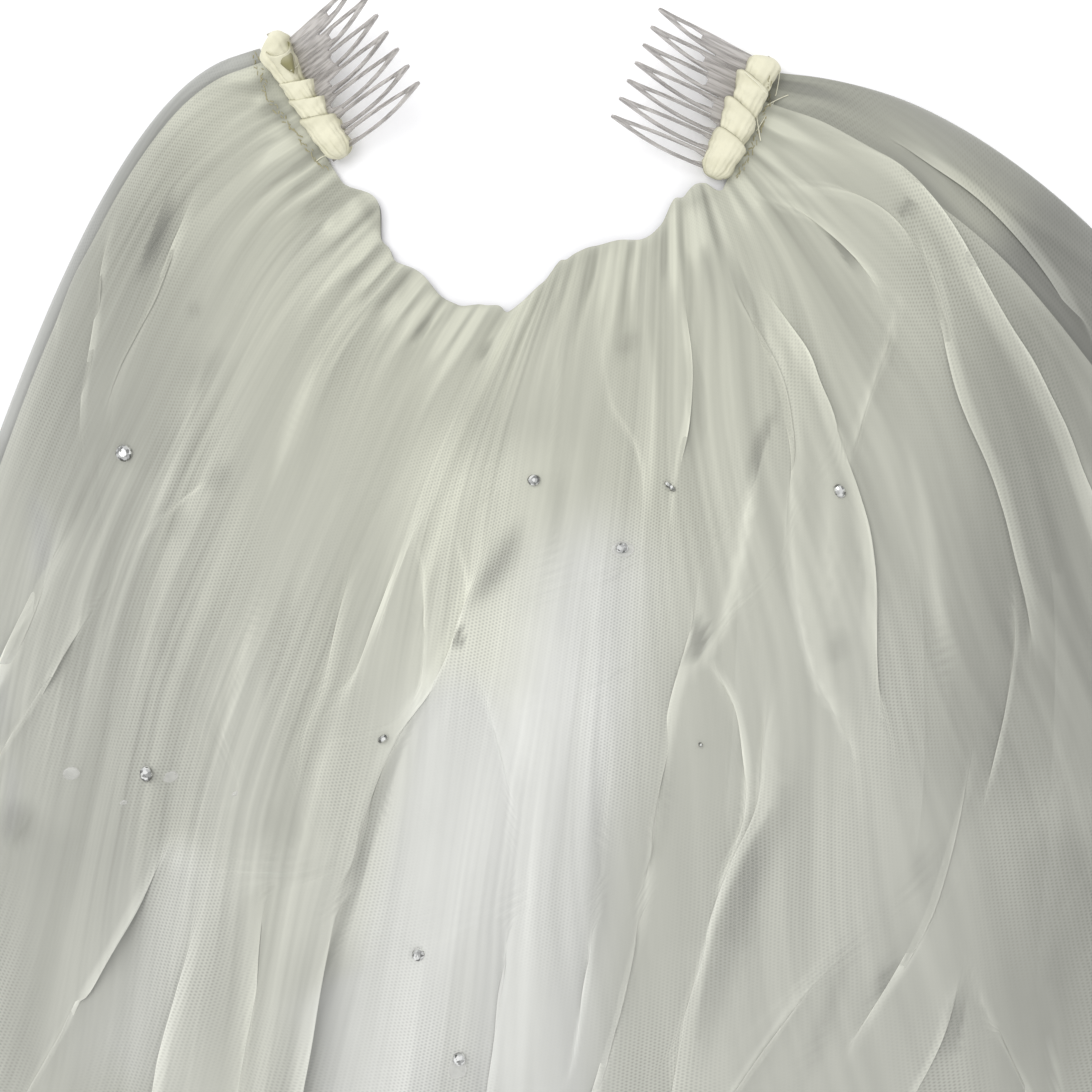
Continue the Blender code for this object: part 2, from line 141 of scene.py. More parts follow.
def photo_points(points: tuple) -> np.ndarray:
    """Turn places on the photograph into places on the table, in metres."""
    places = np.array(points, float).reshape(-1, 2)
    half = PHOTO_SIDE / 2
    x = (places[:, 0] - half) * PHOTO_UNIT + PHOTO_CENTRE[0]
    y = (half - places[:, 1]) * PHOTO_UNIT + PHOTO_CENTRE[1]
    return np.stack([x, y], axis=1)


def linear(code: str) -> tuple[float, float, float, float]:
    """Turn an sRGB hex colour into the linear one that shaders take."""
    parts = [int(code[i : i + 2], 16) / 255 for i in (1, 3, 5)]
    red, green, blue = (p / 12.92 if p <= 0.04045 else ((p + 0.055) / 1.055) ** 2.4 for p in parts)
    return red, green, blue, 1.0


def add_node(tree: bpy.types.NodeTree, kind: str, settings: dict, links: dict) -> bpy.types.Node:
    """Add one shader node with its settings and the links into it.

    Args:
        tree: the material's nodes.
        kind: Blender's name for the node.
        settings: property names, or socket numbers or names, with their values.
        links: the node's socket numbers or names, with the outputs that feed them.

    Returns:
        The new node.
    """
    node = tree.nodes.new(kind)
    for name, value in settings.items():
        if isinstance(name, int) or name in node.inputs:
            node.inputs[name].default_value = value
        else:
            setattr(node, name, value)
    for name, output in links.items():
        tree.links.new(output, node.inputs[name])
    return node


def new_material(name: str) -> tuple[bpy.types.Material, bpy.types.NodeTree, bpy.types.Node]:
    """Make a material whose Principled shader is ready to be dressed.

    Args:
        name: the material and how its surface was made.

    Returns:
        The material, its nodes and its shader.
    """
    material = bpy.data.materials.new(name)
    material.use_nodes = True
    return material, material.node_tree, material.node_tree.nodes["Principled BSDF"]


def finished(
    name: str, bm: bmesh.types.BMesh, material: bpy.types.Material, place: Matrix | None = None
) -> bpy.types.Object:
    """Turn a finished bmesh into a smooth piece that rides on the veil.

    Args:
        name: the piece's name.
        bm: its shape, which is freed.
        material: its finish.
        place: where the piece's own frame stands, if it has one of its own.

    Returns:
        The piece.
    """
    if place is not None:
        bmesh.ops.transform(bm, matrix=place.inverted(), verts=bm.verts[:])
    mesh = bpy.data.meshes.new(name)
    bm.to_mesh(mesh)
    bm.free()
    mesh.materials.append(material)
    mesh.shade_smooth()
    piece = bpy.data.objects.new(name, mesh)
    bpy.context.scene.collection.objects.link(piece)
    if place is not None:
        piece.matrix_world = place
    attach(piece, "root")
    return piece


def bmesh_of_curve(curve: bpy.types.Curve) -> bmesh.types.BMesh:
    """Turn a bevelled curve into a bmesh and remove the curve's own object."""
    holder = bpy.data.objects.new(curve.name, curve)
    bpy.context.scene.collection.objects.link(holder)
    mesh = bpy.data.meshes.new_from_object(holder.evaluated_get(bpy.context.evaluated_depsgraph_get()))
    bpy.data.objects.remove(holder)
    bm = bmesh.new()
    bm.from_mesh(mesh)
    return bm


def surface_of(objects: list[bpy.types.Object]) -> BVHTree:
    """Gather some objects' faces so that heights can be measured on them."""
    bm = bmesh.new()
    for obj in objects:
        bm.from_mesh(obj.data)
    tree = BVHTree.FromBMesh(bm)
    bm.free()
    return tree


def height_at(surface: BVHTree, x: float, y: float) -> float | None:
    """Find how high a surface lies at a place on the table, or None beside it."""
    hit = surface.ray_cast(Vector((x, y, 0.2)), Vector((0, 0, -1)))[0]
    return hit.z if hit else None


class Tier(Enum):
    """The veil's two layers of tulle."""

    LOWER = "lower"
    UPPER = "upper"


@dataclass(frozen=True)
class TulleFinish:
    """Nylon bobbin net, heat-set and soft: six-sided holes between fine filaments.

    The eye gets a sheer veil that is lighter where layers cross or the net is drawn together.
    Filaments scatter light whichever way the cloth leans, so its shading normal leans upwards.
    """

    name: str = "nylon_tulle_bobbin_net"
    ivory: str = "#E3E4D2"
    cool: str = "#D6D7D1"
    hole_pitch_mm: float = 1.0
    contrast: float = 0.030
    streak_cover: float = 0.10
    streak_tone: float = 0.065
    upright: float = 0.64
    streaks: Table = (
        ("across", "along", "gain"),
        (34.0, 2.6, 1.0),
        (96.0, 4.6, 1.2),
        (260.0, 8.0, 0.9),
    )

    @staticmethod
    def added_up(tree: bpy.types.NodeTree, outputs: list[bpy.types.NodeSocket]) -> bpy.types.NodeSocket:
        """Add some of the material's values, one after another."""
        total = outputs[0]
        for output in outputs[1:]:
            total = add_node(tree, "ShaderNodeMath", {"operation": "ADD"}, {0: total, 1: output}).outputs[0]
        return total

    def drawn_together(self, tree: bpy.types.NodeTree) -> bpy.types.NodeSocket:
        """Sum the long streaks where gathered net lies closer or more open.

        Args:
            tree: the material's nodes.

        Returns:
            How much closer the net lies, about -0.5 to 0.5, from the sheet's own coordinates.
        """
        run = add_node(tree, "ShaderNodeUVMap", {"uv_map": "run"}, {})
        slow = add_node(
            tree,
            "ShaderNodeVectorMath",
            {"operation": "MULTIPLY", 1: (9.0, 5.0, 1.0)},
            {0: run.outputs[0]},
        )
        wander = add_node(
            tree,
            "ShaderNodeTexNoise",
            {"noise_dimensions": "2D", "Scale": 1.0, "Detail": 0.0},
            {"Vector": slow.outputs[0]},
        )
        aside = add_node(
            tree,
            "ShaderNodeVectorMath",
            {"operation": "MULTIPLY_ADD", 1: (0.035, 0.0, 0.0)},
            {0: wander.outputs["Color"], 2: run.outputs[0]},
        )
        levels = []
        for row in rows_of(self.streaks):
            stretched = add_node(
                tree,
                "ShaderNodeVectorMath",
                {"operation": "MULTIPLY", 1: (row["across"], row["along"], 1.0)},
                {0: aside.outputs[0]},
            )
            noise = add_node(
                tree,
                "ShaderNodeTexNoise",
                {"noise_dimensions": "2D", "Scale": 1.0, "Detail": 0.0},
                {"Vector": stretched.outputs[0]},
            )
            level = add_node(
                tree,
                "ShaderNodeMath",
                {"operation": "MULTIPLY_ADD", 1: row["gain"], 2: -0.5 * row["gain"]},
                {0: noise.outputs[0]},
            )
            levels.append(level.outputs[0])
        patch = add_node(
            tree,
            "ShaderNodeMapRange",
            {"From Min": 0.35, "From Max": 0.65, "To Min": 0.35, "To Max": 1.1},
            {"Value": wander.outputs[0]},
        )
        ends = {0: self.added_up(tree, levels), 1: patch.outputs[0]}
        return add_node(tree, "ShaderNodeMath", {"operation": "MULTIPLY"}, ends).outputs[0]

    def net(self, tree: bpy.types.NodeTree) -> bpy.types.NodeSocket:
        """Sum three gratings at 60 degrees, which peak at the net's holes."""
        cloth = add_node(tree, "ShaderNodeUVMap", {"uv_map": "net"}, {})
        wave = 2 * math.pi / (self.hole_pitch_mm * MM * math.sqrt(3) / 2)
        gratings = []
        for number in range(3):
            angle = math.radians(60 * number)
            across = (wave * math.cos(angle), wave * math.sin(angle), 0)
            phase = add_node(
                tree, "ShaderNodeVectorMath", {"operation": "DOT_PRODUCT", 1: across}, {0: cloth.outputs[0]}
            )
            grating = add_node(tree, "ShaderNodeMath", {"operation": "COSINE"}, {0: phase.outputs["Value"]})
            gratings.append(grating.outputs[0])
        return self.added_up(tree, gratings)

    def material(self) -> bpy.types.Material:
        """Build the net with its streaks, its cover and tone from the mesh; that tone carries painted light
        and shade.
        """
        material, tree, shader = new_material(self.name)
        weave = add_node(tree, "ShaderNodeAttribute", {"attribute_name": "weave"}, {})
        parts = add_node(tree, "ShaderNodeSeparateColor", {}, {0: weave.outputs["Color"]})
        tones = {"data_type": "RGBA", 6: linear(self.cool), 7: linear(self.ivory)}
        tone = add_node(tree, "ShaderNodeMix", tones, {0: parts.outputs["Blue"]})
        streak = self.drawn_together(tree)
        # The green channel is the tone, with the painted light and shade in it.
        level = add_node(
            tree,
            "ShaderNodeMath",
            {"operation": "MULTIPLY_ADD", 1: self.streak_tone},
            {0: streak, 2: parts.outputs["Green"]},
        )
        shaded = add_node(
            tree,
            "ShaderNodeVectorMath",
            {"operation": "SCALE"},
            {0: tone.outputs[2], "Scale": level.outputs[0]},
        )
        seen = add_node(
            tree, "ShaderNodeMath", {"operation": "MULTIPLY", 1: -self.contrast}, {0: weave.outputs["Alpha"]}
        )
        closer = add_node(
            tree,
            "ShaderNodeMath",
            {"operation": "MULTIPLY_ADD", 1: self.streak_cover},
            {0: streak, 2: parts.outputs["Red"]},
        )
        cover = add_node(
            tree,
            "ShaderNodeMath",
            {"operation": "MULTIPLY_ADD", "use_clamp": True},
            {0: self.net(tree), 1: seen.outputs[0], 2: closer.outputs[0]},
        )
        tree.links.new(shaded.outputs[0], shader.inputs["Base Color"])
        tree.links.new(cover.outputs[0], shader.inputs["Alpha"])
        side = add_node(tree, "ShaderNodeNewGeometry", {}, {})
        own = 1 - self.upright
        lean = add_node(
            tree,
            "ShaderNodeVectorMath",
            {"operation": "MULTIPLY_ADD", 1: (own, own, own), 2: (0, 0, self.upright)},
            {0: side.outputs["Normal"]},
        )
        soft = add_node(tree, "ShaderNodeVectorMath", {"operation": "NORMALIZE"}, {0: lean.outputs[0]})
        tree.links.new(soft.outputs[0], shader.inputs["Normal"])
        shader.inputs["Roughness"].default_value = 0.7
        shader.inputs["Specular IOR Level"].default_value = 0.15
        return material


@dataclass(frozen=True)
class CrepeFinish:
    """Ivory crepe ribbon: tightly twisted yarn that puckers into a matt, pebbled weave."""

    name: str = "polyester_crepe_woven"
    light: str = "#DEDBC2"
    shadow: str = "#8A865F"
    pucker_mm: float = 0.55

    def material(self) -> bpy.types.Material:
        """Build the weave's puckers, with painted olive-grey shade where the turns meet, in the pleats and on
        the underside.
        """
        material, tree, shader = new_material(self.name)
        place = add_node(tree, "ShaderNodeTexCoord", {}, {})
        painted_shade = add_node(tree, "ShaderNodeAttribute", {"attribute_name": "painted_shade"}, {})
        pucker = add_node(
            tree,
            "ShaderNodeTexNoise",
            {"Scale": 1 / (self.pucker_mm * 2 * MM), "Detail": 2.0},
            {"Vector": place.outputs["Object"]},
        )
        tones = {"data_type": "RGBA", 6: linear(self.light), 7: linear(self.shadow)}
        tone = add_node(tree, "ShaderNodeMix", tones, {0: painted_shade.outputs["Fac"]})
        bump = add_node(
            tree, "ShaderNodeBump", {"Strength": 0.55, "Distance": 0.0003}, {"Height": pucker.outputs["Fac"]}
        )
        tree.links.new(tone.outputs[2], shader.inputs["Base Color"])
        tree.links.new(bump.outputs[0], shader.inputs["Normal"])
        shader.inputs["Roughness"].default_value = 0.85
        shader.inputs["Sheen Weight"].default_value = 0.15
        return material


@dataclass(frozen=True)
class ClearPlasticFinish:
    """Clear injection-moulded plastic: grey and glossy, denser at its edges, with flow lines."""

    name: str = "clear_polystyrene_moulded"
    body: str = "#C9C4BE"
    dense: str = "#86817B"
    clearness: float = 0.55

    def material(self) -> bpy.types.Material:
        """Build clear faces with denser edges, and flow lines along the teeth."""
        material, tree, shader = new_material(self.name)
        edge = add_node(tree, "ShaderNodeLayerWeight", {"Blend": 0.35}, {})
        place = add_node(tree, "ShaderNodeTexCoord", {}, {})
        along = add_node(
            tree,
            "ShaderNodeVectorMath",
            {"operation": "MULTIPLY", 1: (1500.0, 60.0, 300.0)},
            {0: place.outputs["Object"]},
        )
        flow = add_node(
            tree, "ShaderNodeTexNoise", {"Scale": 1.0, "Detail": 2.0}, {"Vector": along.outputs[0]}
        )
        streak = add_node(
            tree,
            "ShaderNodeMapRange",
            {"From Min": 0.36, "From Max": 0.64, "To Min": 0.0, "To Max": 1.0},
            {"Value": flow.outputs[0]},
        )
        tones = {"data_type": "RGBA", 6: linear(self.body), 7: linear(self.dense)}
        tone = add_node(tree, "ShaderNodeMix", tones, {0: streak.outputs[0]})
        cover = add_node(
            tree,
            "ShaderNodeMapRange",
            {"From Min": 0.0, "From Max": 0.8, "To Min": self.clearness, "To Max": 0.94},
            {"Value": edge.outputs["Facing"]},
        )
        bump = add_node(
            tree, "ShaderNodeBump", {"Strength": 0.3, "Distance": 0.0004}, {"Height": flow.outputs[0]}
        )
        tree.links.new(tone.outputs[2], shader.inputs["Base Color"])
        tree.links.new(cover.outputs[0], shader.inputs["Alpha"])
        tree.links.new(bump.outputs[0], shader.inputs["Normal"])
        shader.inputs["Roughness"].default_value = 0.12
        shader.inputs["IOR"].default_value = 1.49
        return material


@dataclass(frozen=True)
class CutGlassFinish:
    """Cut glass with a foil back: a dark mirror broken into facets."""

    name: str = "foil_backed_cut_glass"
    # The facets' two tones are painted reflections, one light and one dark.
    foil: str = "#F4F5F2"
    shade: str = "#5A5B59"

    def material(self) -> bpy.types.Material:
        """Build facets painted lighter or darker at random: a painted reflection of bright and dark
        surroundings.
        """
        material, tree, shader = new_material(self.name)
        place = add_node(tree, "ShaderNodeTexCoord", {}, {})
        facets = add_node(
            tree, "ShaderNodeTexVoronoi", {"Scale": 1100.0}, {"Vector": place.outputs["Object"]}
        )
        level = add_node(tree, "ShaderNodeSeparateColor", {}, {0: facets.outputs["Color"]})
        tones = {"data_type": "RGBA", 6: linear(self.shade), 7: linear(self.foil)}
        tone = add_node(tree, "ShaderNodeMix", tones, {0: level.outputs["Red"]})
        tree.links.new(tone.outputs[2], shader.inputs["Base Color"])
        shader.inputs["Metallic"].default_value = 0.7
        shader.inputs["Roughness"].default_value = 0.12
        return material


@dataclass(frozen=True)
class PlainFinish:
    """A small plain part whose colour mottles a little: thread, dried glue or the floor."""

    name: str
    colour: str
    mottle: str
    grain_mm: float
    roughness: float
    cover: float = 1.0

    def material(self) -> bpy.types.Material:
        """Build the two close tones and how sheer they are."""
        material, tree, shader = new_material(self.name)
        place = add_node(tree, "ShaderNodeTexCoord", {}, {})
        grain = add_node(
            tree,
            "ShaderNodeTexNoise",
            {"Scale": 1 / (self.grain_mm * 2 * MM), "Detail": 2.0},
            {"Vector": place.outputs["Object"]},
        )
        tones = {"data_type": "RGBA", 6: linear(self.colour), 7: linear(self.mottle)}
        tone = add_node(tree, "ShaderNodeMix", tones, {0: grain.outputs["Fac"]})
        tree.links.new(tone.outputs[2], shader.inputs["Base Color"])
        shader.inputs["Roughness"].default_value = self.roughness
        shader.inputs["Alpha"].default_value = self.cover
        return material


@dataclass
class FanLayout:
    """How the veil lies, seen from above, with the named sizes of its solids in millimetres."""

    heading_depth: float = 8.3
    left_end: tuple = (-86.6, 150.4)
    right_end: tuple = (69.1, 143.1)
    left_share: float = 0.207
    right_share: float = 0.830
    lobe_fade: float = 0.020
    corner_share: float = 0.075
    corner_drop: float = 0.14
    bend: tuple = (
        (-63.0, 112.0),
        (-54.2, 98.7),
        (-43.6, 82.9),
        (-22.9, 70.9),
        (-12.8, 69.8),
        (-1.4, 78.9),
        (9.1, 86.8),
        (27.5, 91.2),
        (41.0, 98.6),
        (53.3, 107.5),
    )
    fan: Table = (
        ("share", "leaves_deg", "leave_pull", "hem_x", "hem_y", "hem_deg", "hem_pull"),
        (0.00, -72, 70, -310.0, -372.0, -24, 250),
        (0.10, -62, 85, -293.0, -412.0, -24, 240),
        (0.21, -50, 105, -265.0, -448.0, -24, 230),
        (0.35, -41, 130, -217.0, -481.0, -22, 210),
        (0.50, -30, 155, -157.0, -505.0, -20, 195),
        (0.60, -18, 170, -103.0, -517.0, -19, 185),
        (0.70, -7, 175, -37.0, -521.0, -17, 190),
        (0.78, 8, 170, 34.0, -515.0, -16, 200),
        (0.86, 38, 150, 124.0, -490.0, -15, 215),
        (0.93, 62, 140, 205.0, -445.0, -14, 230),
        (1.00, 84, 137, 267.0, -376.0, -14, 240),
    )
    lobes: Table = (
        ("share", "half_width", "swell"),
        (0.268, 0.053, 5.8),
        (0.325, 0.020, 1.5),
        (0.376, 0.050, 3.0),
        (0.470, 0.030, 3.0),
        (0.490, 0.020, 2.4),
        (0.586, 0.020, 2.5),
        (0.634, 0.073, 1.7),
        (0.680, 0.042, 1.5),
        (0.752, 0.020, 2.9),
        (0.772, 0.070, 4.9),
        (0.801, 0.050, 2.8),
    )

    def at(self, name: str, share: np.ndarray) -> np.ndarray:
        """Read one column of the fan between its stated shares."""
        return curve_through(column(self.fan, "share"), column(self.fan, name), share)

    def leaving(self, share: np.ndarray) -> np.ndarray:
        """Give the way the cloth runs where it leaves the heading."""
        angle = np.radians(self.at("leaves_deg", share))
        return np.stack([np.sin(angle), -np.cos(angle)], axis=-1)

    def heading_line(self, share: np.ndarray) -> np.ndarray:
        """Give points on the heading's inner edge, without its lobes.

        Args:
            share: how far along the heading, from 0 at the left to 1 at the right.

        Returns:
            Their places in millimetres from the photograph's centre.
        """
        bend = np.array(self.bend)
        lengths = np.concatenate([[0.0], np.cumsum(np.linalg.norm(np.diff(bend, axis=0), axis=1))])
        along = (share - self.left_share) / (self.right_share - self.left_share) * lengths[-1]
        middle = np.stack([curve_through(lengths, bend[:, axis], along) for axis in (0, 1)], axis=-1)
        left = (share / self.left_share)[..., None]
        right = ((share - self.right_share) / (1 - self.right_share))[..., None]
        on_left = np.array(self.left_end) * (1 - left) + bend[0] * left
        on_right = bend[-1] * (1 - right) + np.array(self.right_end) * right
        return np.where(left <= 1, on_left, np.where(right >= 0, on_right, middle))

    def nose(self, share: np.ndarray) -> np.ndarray:
        """Give the front of the folded heading, lobes included."""
        swell = np.zeros_like(share)
        for lobe in rows_of(self.lobes):
            x = np.clip(np.abs(share - lobe["share"]) / lobe["half_width"], 0, 1)
            swell += lobe["swell"] * np.cos(x * math.pi / 2) ** 2
        swell *= ease(np.minimum(share - self.left_share, self.right_share - share) / self.lobe_fade)
        return self.heading_line(share) - self.leaving(share) * swell[..., None]

    def start(self, share: np.ndarray) -> np.ndarray:
        """Give the line where the tiers come out of the heading."""
        return self.heading_line(share) + self.leaving(share) * self.heading_depth

    def cloth(self, share: np.ndarray, way: np.ndarray) -> np.ndarray:
        """Give points of the cloth.

        Args:
            share: how far along the heading.
            way: how far down, from 0 at the heading to 1 at the hem.

        Returns:
            Their places in millimetres from the photograph's centre.
        """
        corner = np.maximum(0.0, 1 - np.minimum(share, 1 - share) / self.corner_share)
        way = way * (1 - self.corner_drop * (1 - np.sqrt(1 - corner * corner)))
        lands = np.radians(self.at("hem_deg", share))
        lands = np.stack([np.sin(lands), -np.cos(lands)], axis=-1)
        start = self.start(share)
        end = np.stack([self.at("hem_x", share), self.at("hem_y", share)], axis=-1)
        second = start + self.leaving(share) * self.at("leave_pull", share)[..., None]
        third = end - lands * self.at("hem_pull", share)[..., None]
        t = way[..., None]
        return (
            (1 - t) ** 3 * start + 3 * t * (1 - t) ** 2 * second + 3 * t * t * (1 - t) * third + t**3 * end
        )

    def locate(self, places: np.ndarray) -> tuple[np.ndarray, np.ndarray]:
        """Find which points of the cloth lie at some places, by Newton's method.

        Args:
            places: places on the table in metres, one a row.

        Returns:
            How far along the heading each lies, and how far down.
        """
        shares, ways = (part.ravel() for part in np.meshgrid(np.linspace(0, 1, 121), np.linspace(0, 1, 101)))
        wanted = (places - np.array(PHOTO_CENTRE)) / MM
        away = wanted[:, None, :] - self.cloth(shares, ways)[None, :, :]
        nearest = np.argmin((away**2).sum(axis=2), axis=1)
        share, way = shares[nearest], ways[nearest]
        step, stride = 0.0002, 0.02
        for _ in range(6):
            share, way = np.clip(share, 0.0005, 0.9990), np.clip(way, 0.0, 1.0)
            here = self.cloth(share, way)
            by_share = (self.cloth(share + step, way) - here) / step
            by_way = (self.cloth(share, way + step) - here) / step
            off = wanted - here
            size = by_share[:, 0] * by_way[:, 1] - by_share[:, 1] * by_way[:, 0]
            size = np.where(np.abs(size) < 1.0, 1.0, size)
            on_share = (off[:, 0] * by_way[:, 1] - off[:, 1] * by_way[:, 0]) / size
            on_way = (by_share[:, 0] * off[:, 1] - by_share[:, 1] * off[:, 0]) / size
            share = share + np.clip(on_share, -stride, stride)
            way = way + np.clip(on_way, -stride, stride)
        return np.clip(share, 0, 1), np.clip(way, 0, 1)


class Path:
    """A smooth line on the table, for folds and changes of the net to follow."""

    def __init__(self, points: tuple) -> None:
        """Smooth the stated points.

        Args:
            points: places in photo units, x and y in turn.
        """
        stated = photo_points(points)
        steps = np.concatenate([[0.0], np.cumsum(np.linalg.norm(np.diff(stated, axis=0), axis=1))])
        at = np.linspace(0, steps[-1], 6 * len(stated))
        self.line = np.stack([curve_through(steps, stated[:, axis], at) for axis in (0, 1)], axis=1)
        self.length = float(steps[-1])

    def measure(self, places: np.ndarray, reach: float) -> tuple[np.ndarray, ...]:
        """Measure the places within reach of the line's own box against the line.

        Args:
            places: points on the table, one a row.
            reach: how far outside the box they may lie, in metres.

        Returns:
            Which places they are; their distance to the line, positive on its left hand;
            the share of its length there; and the direction square to it.
        """
        low, high = self.line.min(0) - reach, self.line.max(0) + reach
        inside = np.nonzero(np.all((places > low) & (places < high), axis=1))[0]
        places = places[inside]
        best = np.full(len(places), np.inf)
        along = np.zeros(len(places))
        normal = np.zeros((len(places), 2))
        side = np.ones(len(places))
        last = len(self.line) - 1
        for number, (a, b) in enumerate(zip(self.line, self.line[1:])):
            step = b - a
            t = np.clip((places - a) @ step / (step @ step), 0, 1)
            off = places - a - t[:, None] * step
            distance = np.hypot(off[:, 0], off[:, 1])
            closer = distance < best
            best[closer] = distance[closer]
            along[closer] = (number + t[closer]) / last
            square = np.array([-step[1], step[0]]) / np.hypot(*step)
            normal[closer] = square
            side[closer] = np.sign(off[closer] @ square + 1e-12)
        return inside, best * side, along, normal


# Folds of the upper tier: overlap and lift in millimetres, which side lies on top (1 for
# the photograph's right), how softly each end fades as a share of the fold, and its path.
FOLD_COLUMNS = ("overlap", "lift", "side", "fade_in", "fade_out", "path")
UPPER_FOLDS = (
    FOLD_COLUMNS,
    (2.5, 0.9, 1, 0.3, 0.3, (118, 200, 106, 270, 98, 330, 86, 392, 80, 450)),
    (3.5, 1.0, 1, 0.3, 0.4, (206, 160, 180, 240, 156, 300, 122, 370, 100, 440)),
    (3.0, 1.0, -1, 0.3, 0.1, (152, 530, 96, 610, 40, 702, 0, 762, -60, 860, -110, 980)),
    (5.5, 1.4, 1, 0.3, 0.1, (80, 500, 40, 590, 0, 676, -50, 770, -90, 860)),
    (2.5, 0.8, 1, 0.3, 0.1, (60, 540, 24, 620, 0, 693, -30, 770)),
    (3.5, 1.0, -1, 0.2, 0.1, (192, 800, 145, 890, 100, 972, 32, 1088, -30, 1210, -80, 1350)),
    (4.5, 1.1, 1, 0.3, 0.1, (210, 880, 186, 970, 160, 1088, 140, 1220, 120, 1400)),
    (3.5, 1.0, -1, 0.4, 0.1, (290, 750, 272, 844, 258, 950, 240, 1088, 222, 1250, 205, 1420)),
    (3.5, 1.0, 1, 0.4, 0.3, (356, 540, 338, 620, 320, 692, 300, 745, 285, 830)),
    (1.6, 0.6, 1, 0.3, 0.3, (412, 520, 424, 582, 420, 670, 396, 760)),
    (1.6, 0.6, -1, 0.3, 0.3, (454, 520, 466, 586, 452, 634)),
    (5.5, 1.5, -1, 0.2, 0.1, (500, 500, 470, 596, 440, 672, 398, 738, 368, 812, 344, 892, 316, 1004,
     296, 1120, 270, 1300)),
    (3.2, 1.0, 1, 0.2, 0.1, (466, 640, 496, 732, 510, 804, 512, 892, 500, 1000, 486, 1120, 470, 1300)),
    (2.2, 0.7, 1, 0.2, 0.3, (592, 300, 600, 360, 610, 410, 634, 450, 644, 520)),
    (2.8, 0.8, -1, 0.2, 0.5, (684, 300, 688, 394, 676, 480, 664, 570)),
    (4.2, 1.2, 1, 0.3, 0.1, (690, 500, 694, 604, 678, 672, 664, 756, 642, 892, 636, 930, 616, 1012,
     590, 1100, 556, 1280)),
    (3.2, 1.0, -1, 0.3, 0.2, (756, 450, 742, 532, 722, 630, 700, 664, 672, 706)),
    (2.8, 0.9, 1, 0.2, 0.3, (702, 650, 732, 702, 741, 788, 730, 840, 700, 910)),
    (6.0, 1.5, 1, 0.25, 0.1, (772, 650, 764, 724, 754, 812, 730, 862, 704, 952, 682, 1020, 672, 1100,
     650, 1280)),
    (5.0, 1.3, -1, 0.2, 0.2, (752, 268, 808, 362, 836, 434, 856, 500, 868, 580, 870, 652, 884, 732,
     902, 790)),
    (6.0, 1.5, 1, 0.2, 0.2, (716, 262, 756, 338, 780, 398, 788, 450, 785, 532, 792, 604, 812, 680, 842,
     732, 852, 788, 866, 850)),
    (4.5, 1.2, -1, 0.3, 0.1, (842, 912, 812, 972, 780, 1024, 740, 1088, 690, 1180, 640, 1320)),
    (3.5, 1.1, 1, 0.3, 0.3, (978, 730, 952, 832, 930, 900, 904, 952, 868, 1004, 828, 1070)),
    (3.2, 1.0, 1, 0.3, 0.1, (946, 920, 972, 984, 1000, 1040, 1040, 1120, 1070, 1220)),
    (3.5, 1.1, -1, 0.3, 0.1, (968, 950, 932, 1048, 904, 1100, 860, 1210, 820, 1340)),
    (7.0, 1.6, -1, 0.2, 0.1, (812, 128, 892, 162, 936, 214, 984, 298, 1048, 410, 1092, 522, 1140, 660,
     1180, 840)),
    (4.5, 1.2, 1, 0.2, 0.2, (900, 205, 930, 290, 956, 394, 996, 490, 1016, 570, 1034, 680)),
    (4.0, 1.1, -1, 0.2, 0.1, (984, 190, 1040, 262, 1092, 346, 1150, 460)),
    (4.5, 1.2, 1, 0.2, 0.1, (1000, 222, 1036, 310, 1054, 410, 1092, 530, 1120, 660, 1140, 800)),
    (2.5, 0.8, 1, 0.3, 0.3, (838, 300, 812, 346, 800, 390)),
    (3.2, 1.0, -1, 0.3, 0.3, (904, 280, 888, 340, 868, 400, 846, 480)),
    (4.2, 1.1, -1, 0.15, 0.3, (756, 180, 842, 192, 890, 222, 920, 270)),
    (3.6, 1.0, 1, 0.15, 0.3, (748, 196, 810, 222, 862, 274, 880, 320)),
    (2.5, 0.8, 1, 0.3, 0.2, (1046, 980, 1056, 1064, 1068, 1150)),
    (1.6, 0.6, 1, 0.3, 0.3, (404, 540, 360, 666, 336, 710)),
    (1.8, 0.6, -1, 0.3, 0.3, (436, 480, 402, 570, 376, 650)),
    (1.6, 0.6, 1, 0.2, 0.3, (212, 478, 160, 520, 130, 556)),
    (2.5, 0.8, -1, 0.3, 0.3, (90, 235, 80, 266, 62, 300, 64, 356)),
    (2.2, 0.8, 1, 0.3, 0.2, (610, 700, 604, 800, 596, 892, 580, 1000, 560, 1100)),
    (2.0, 0.7, 1, 0.3, 0.3, (1000, 560, 1010, 650, 1000, 740, 980, 820)),
    (2.6, 0.8, -1, 0.3, 0.3, (560, 330, 556, 420, 540, 500)),
)

# Folds of the lower tier, which show softly through the upper one
LOWER_FOLDS = (
    FOLD_COLUMNS,
    (4.0, 0.8, 1, 0.3, 0.1, (250, 300, 190, 440, 120, 600, 40, 780, -40, 960)),
    (5.0, 0.8, -1, 0.3, 0.1, (330, 380, 270, 560, 210, 740, 160, 920, 110, 1100, 60, 1300)),
    (4.5, 0.8, 1, 0.3, 0.1, (470, 420, 440, 600, 400, 800, 370, 1000, 340, 1200)),
    (5.0, 0.8, -1, 0.3, 0.1, (580, 400, 590, 600, 570, 800, 540, 1000, 510, 1200)),
    (4.5, 0.8, 1, 0.3, 0.1, (700, 330, 740, 500, 740, 700, 720, 900, 690, 1100, 660, 1300)),
    (5.0, 0.8, -1, 0.3, 0.1, (830, 300, 900, 470, 920, 660, 910, 850, 880, 1050, 850, 1250)),
    (5.0, 0.8, 1, 0.3, 0.1, (960, 260, 1030, 420, 1060, 600, 1060, 800, 1040, 1000, 1010, 1200)),
    (4.0, 0.8, 1, 0.2, 0.1, (880, 130, 980, 190, 1060, 280, 1120, 400)),
)
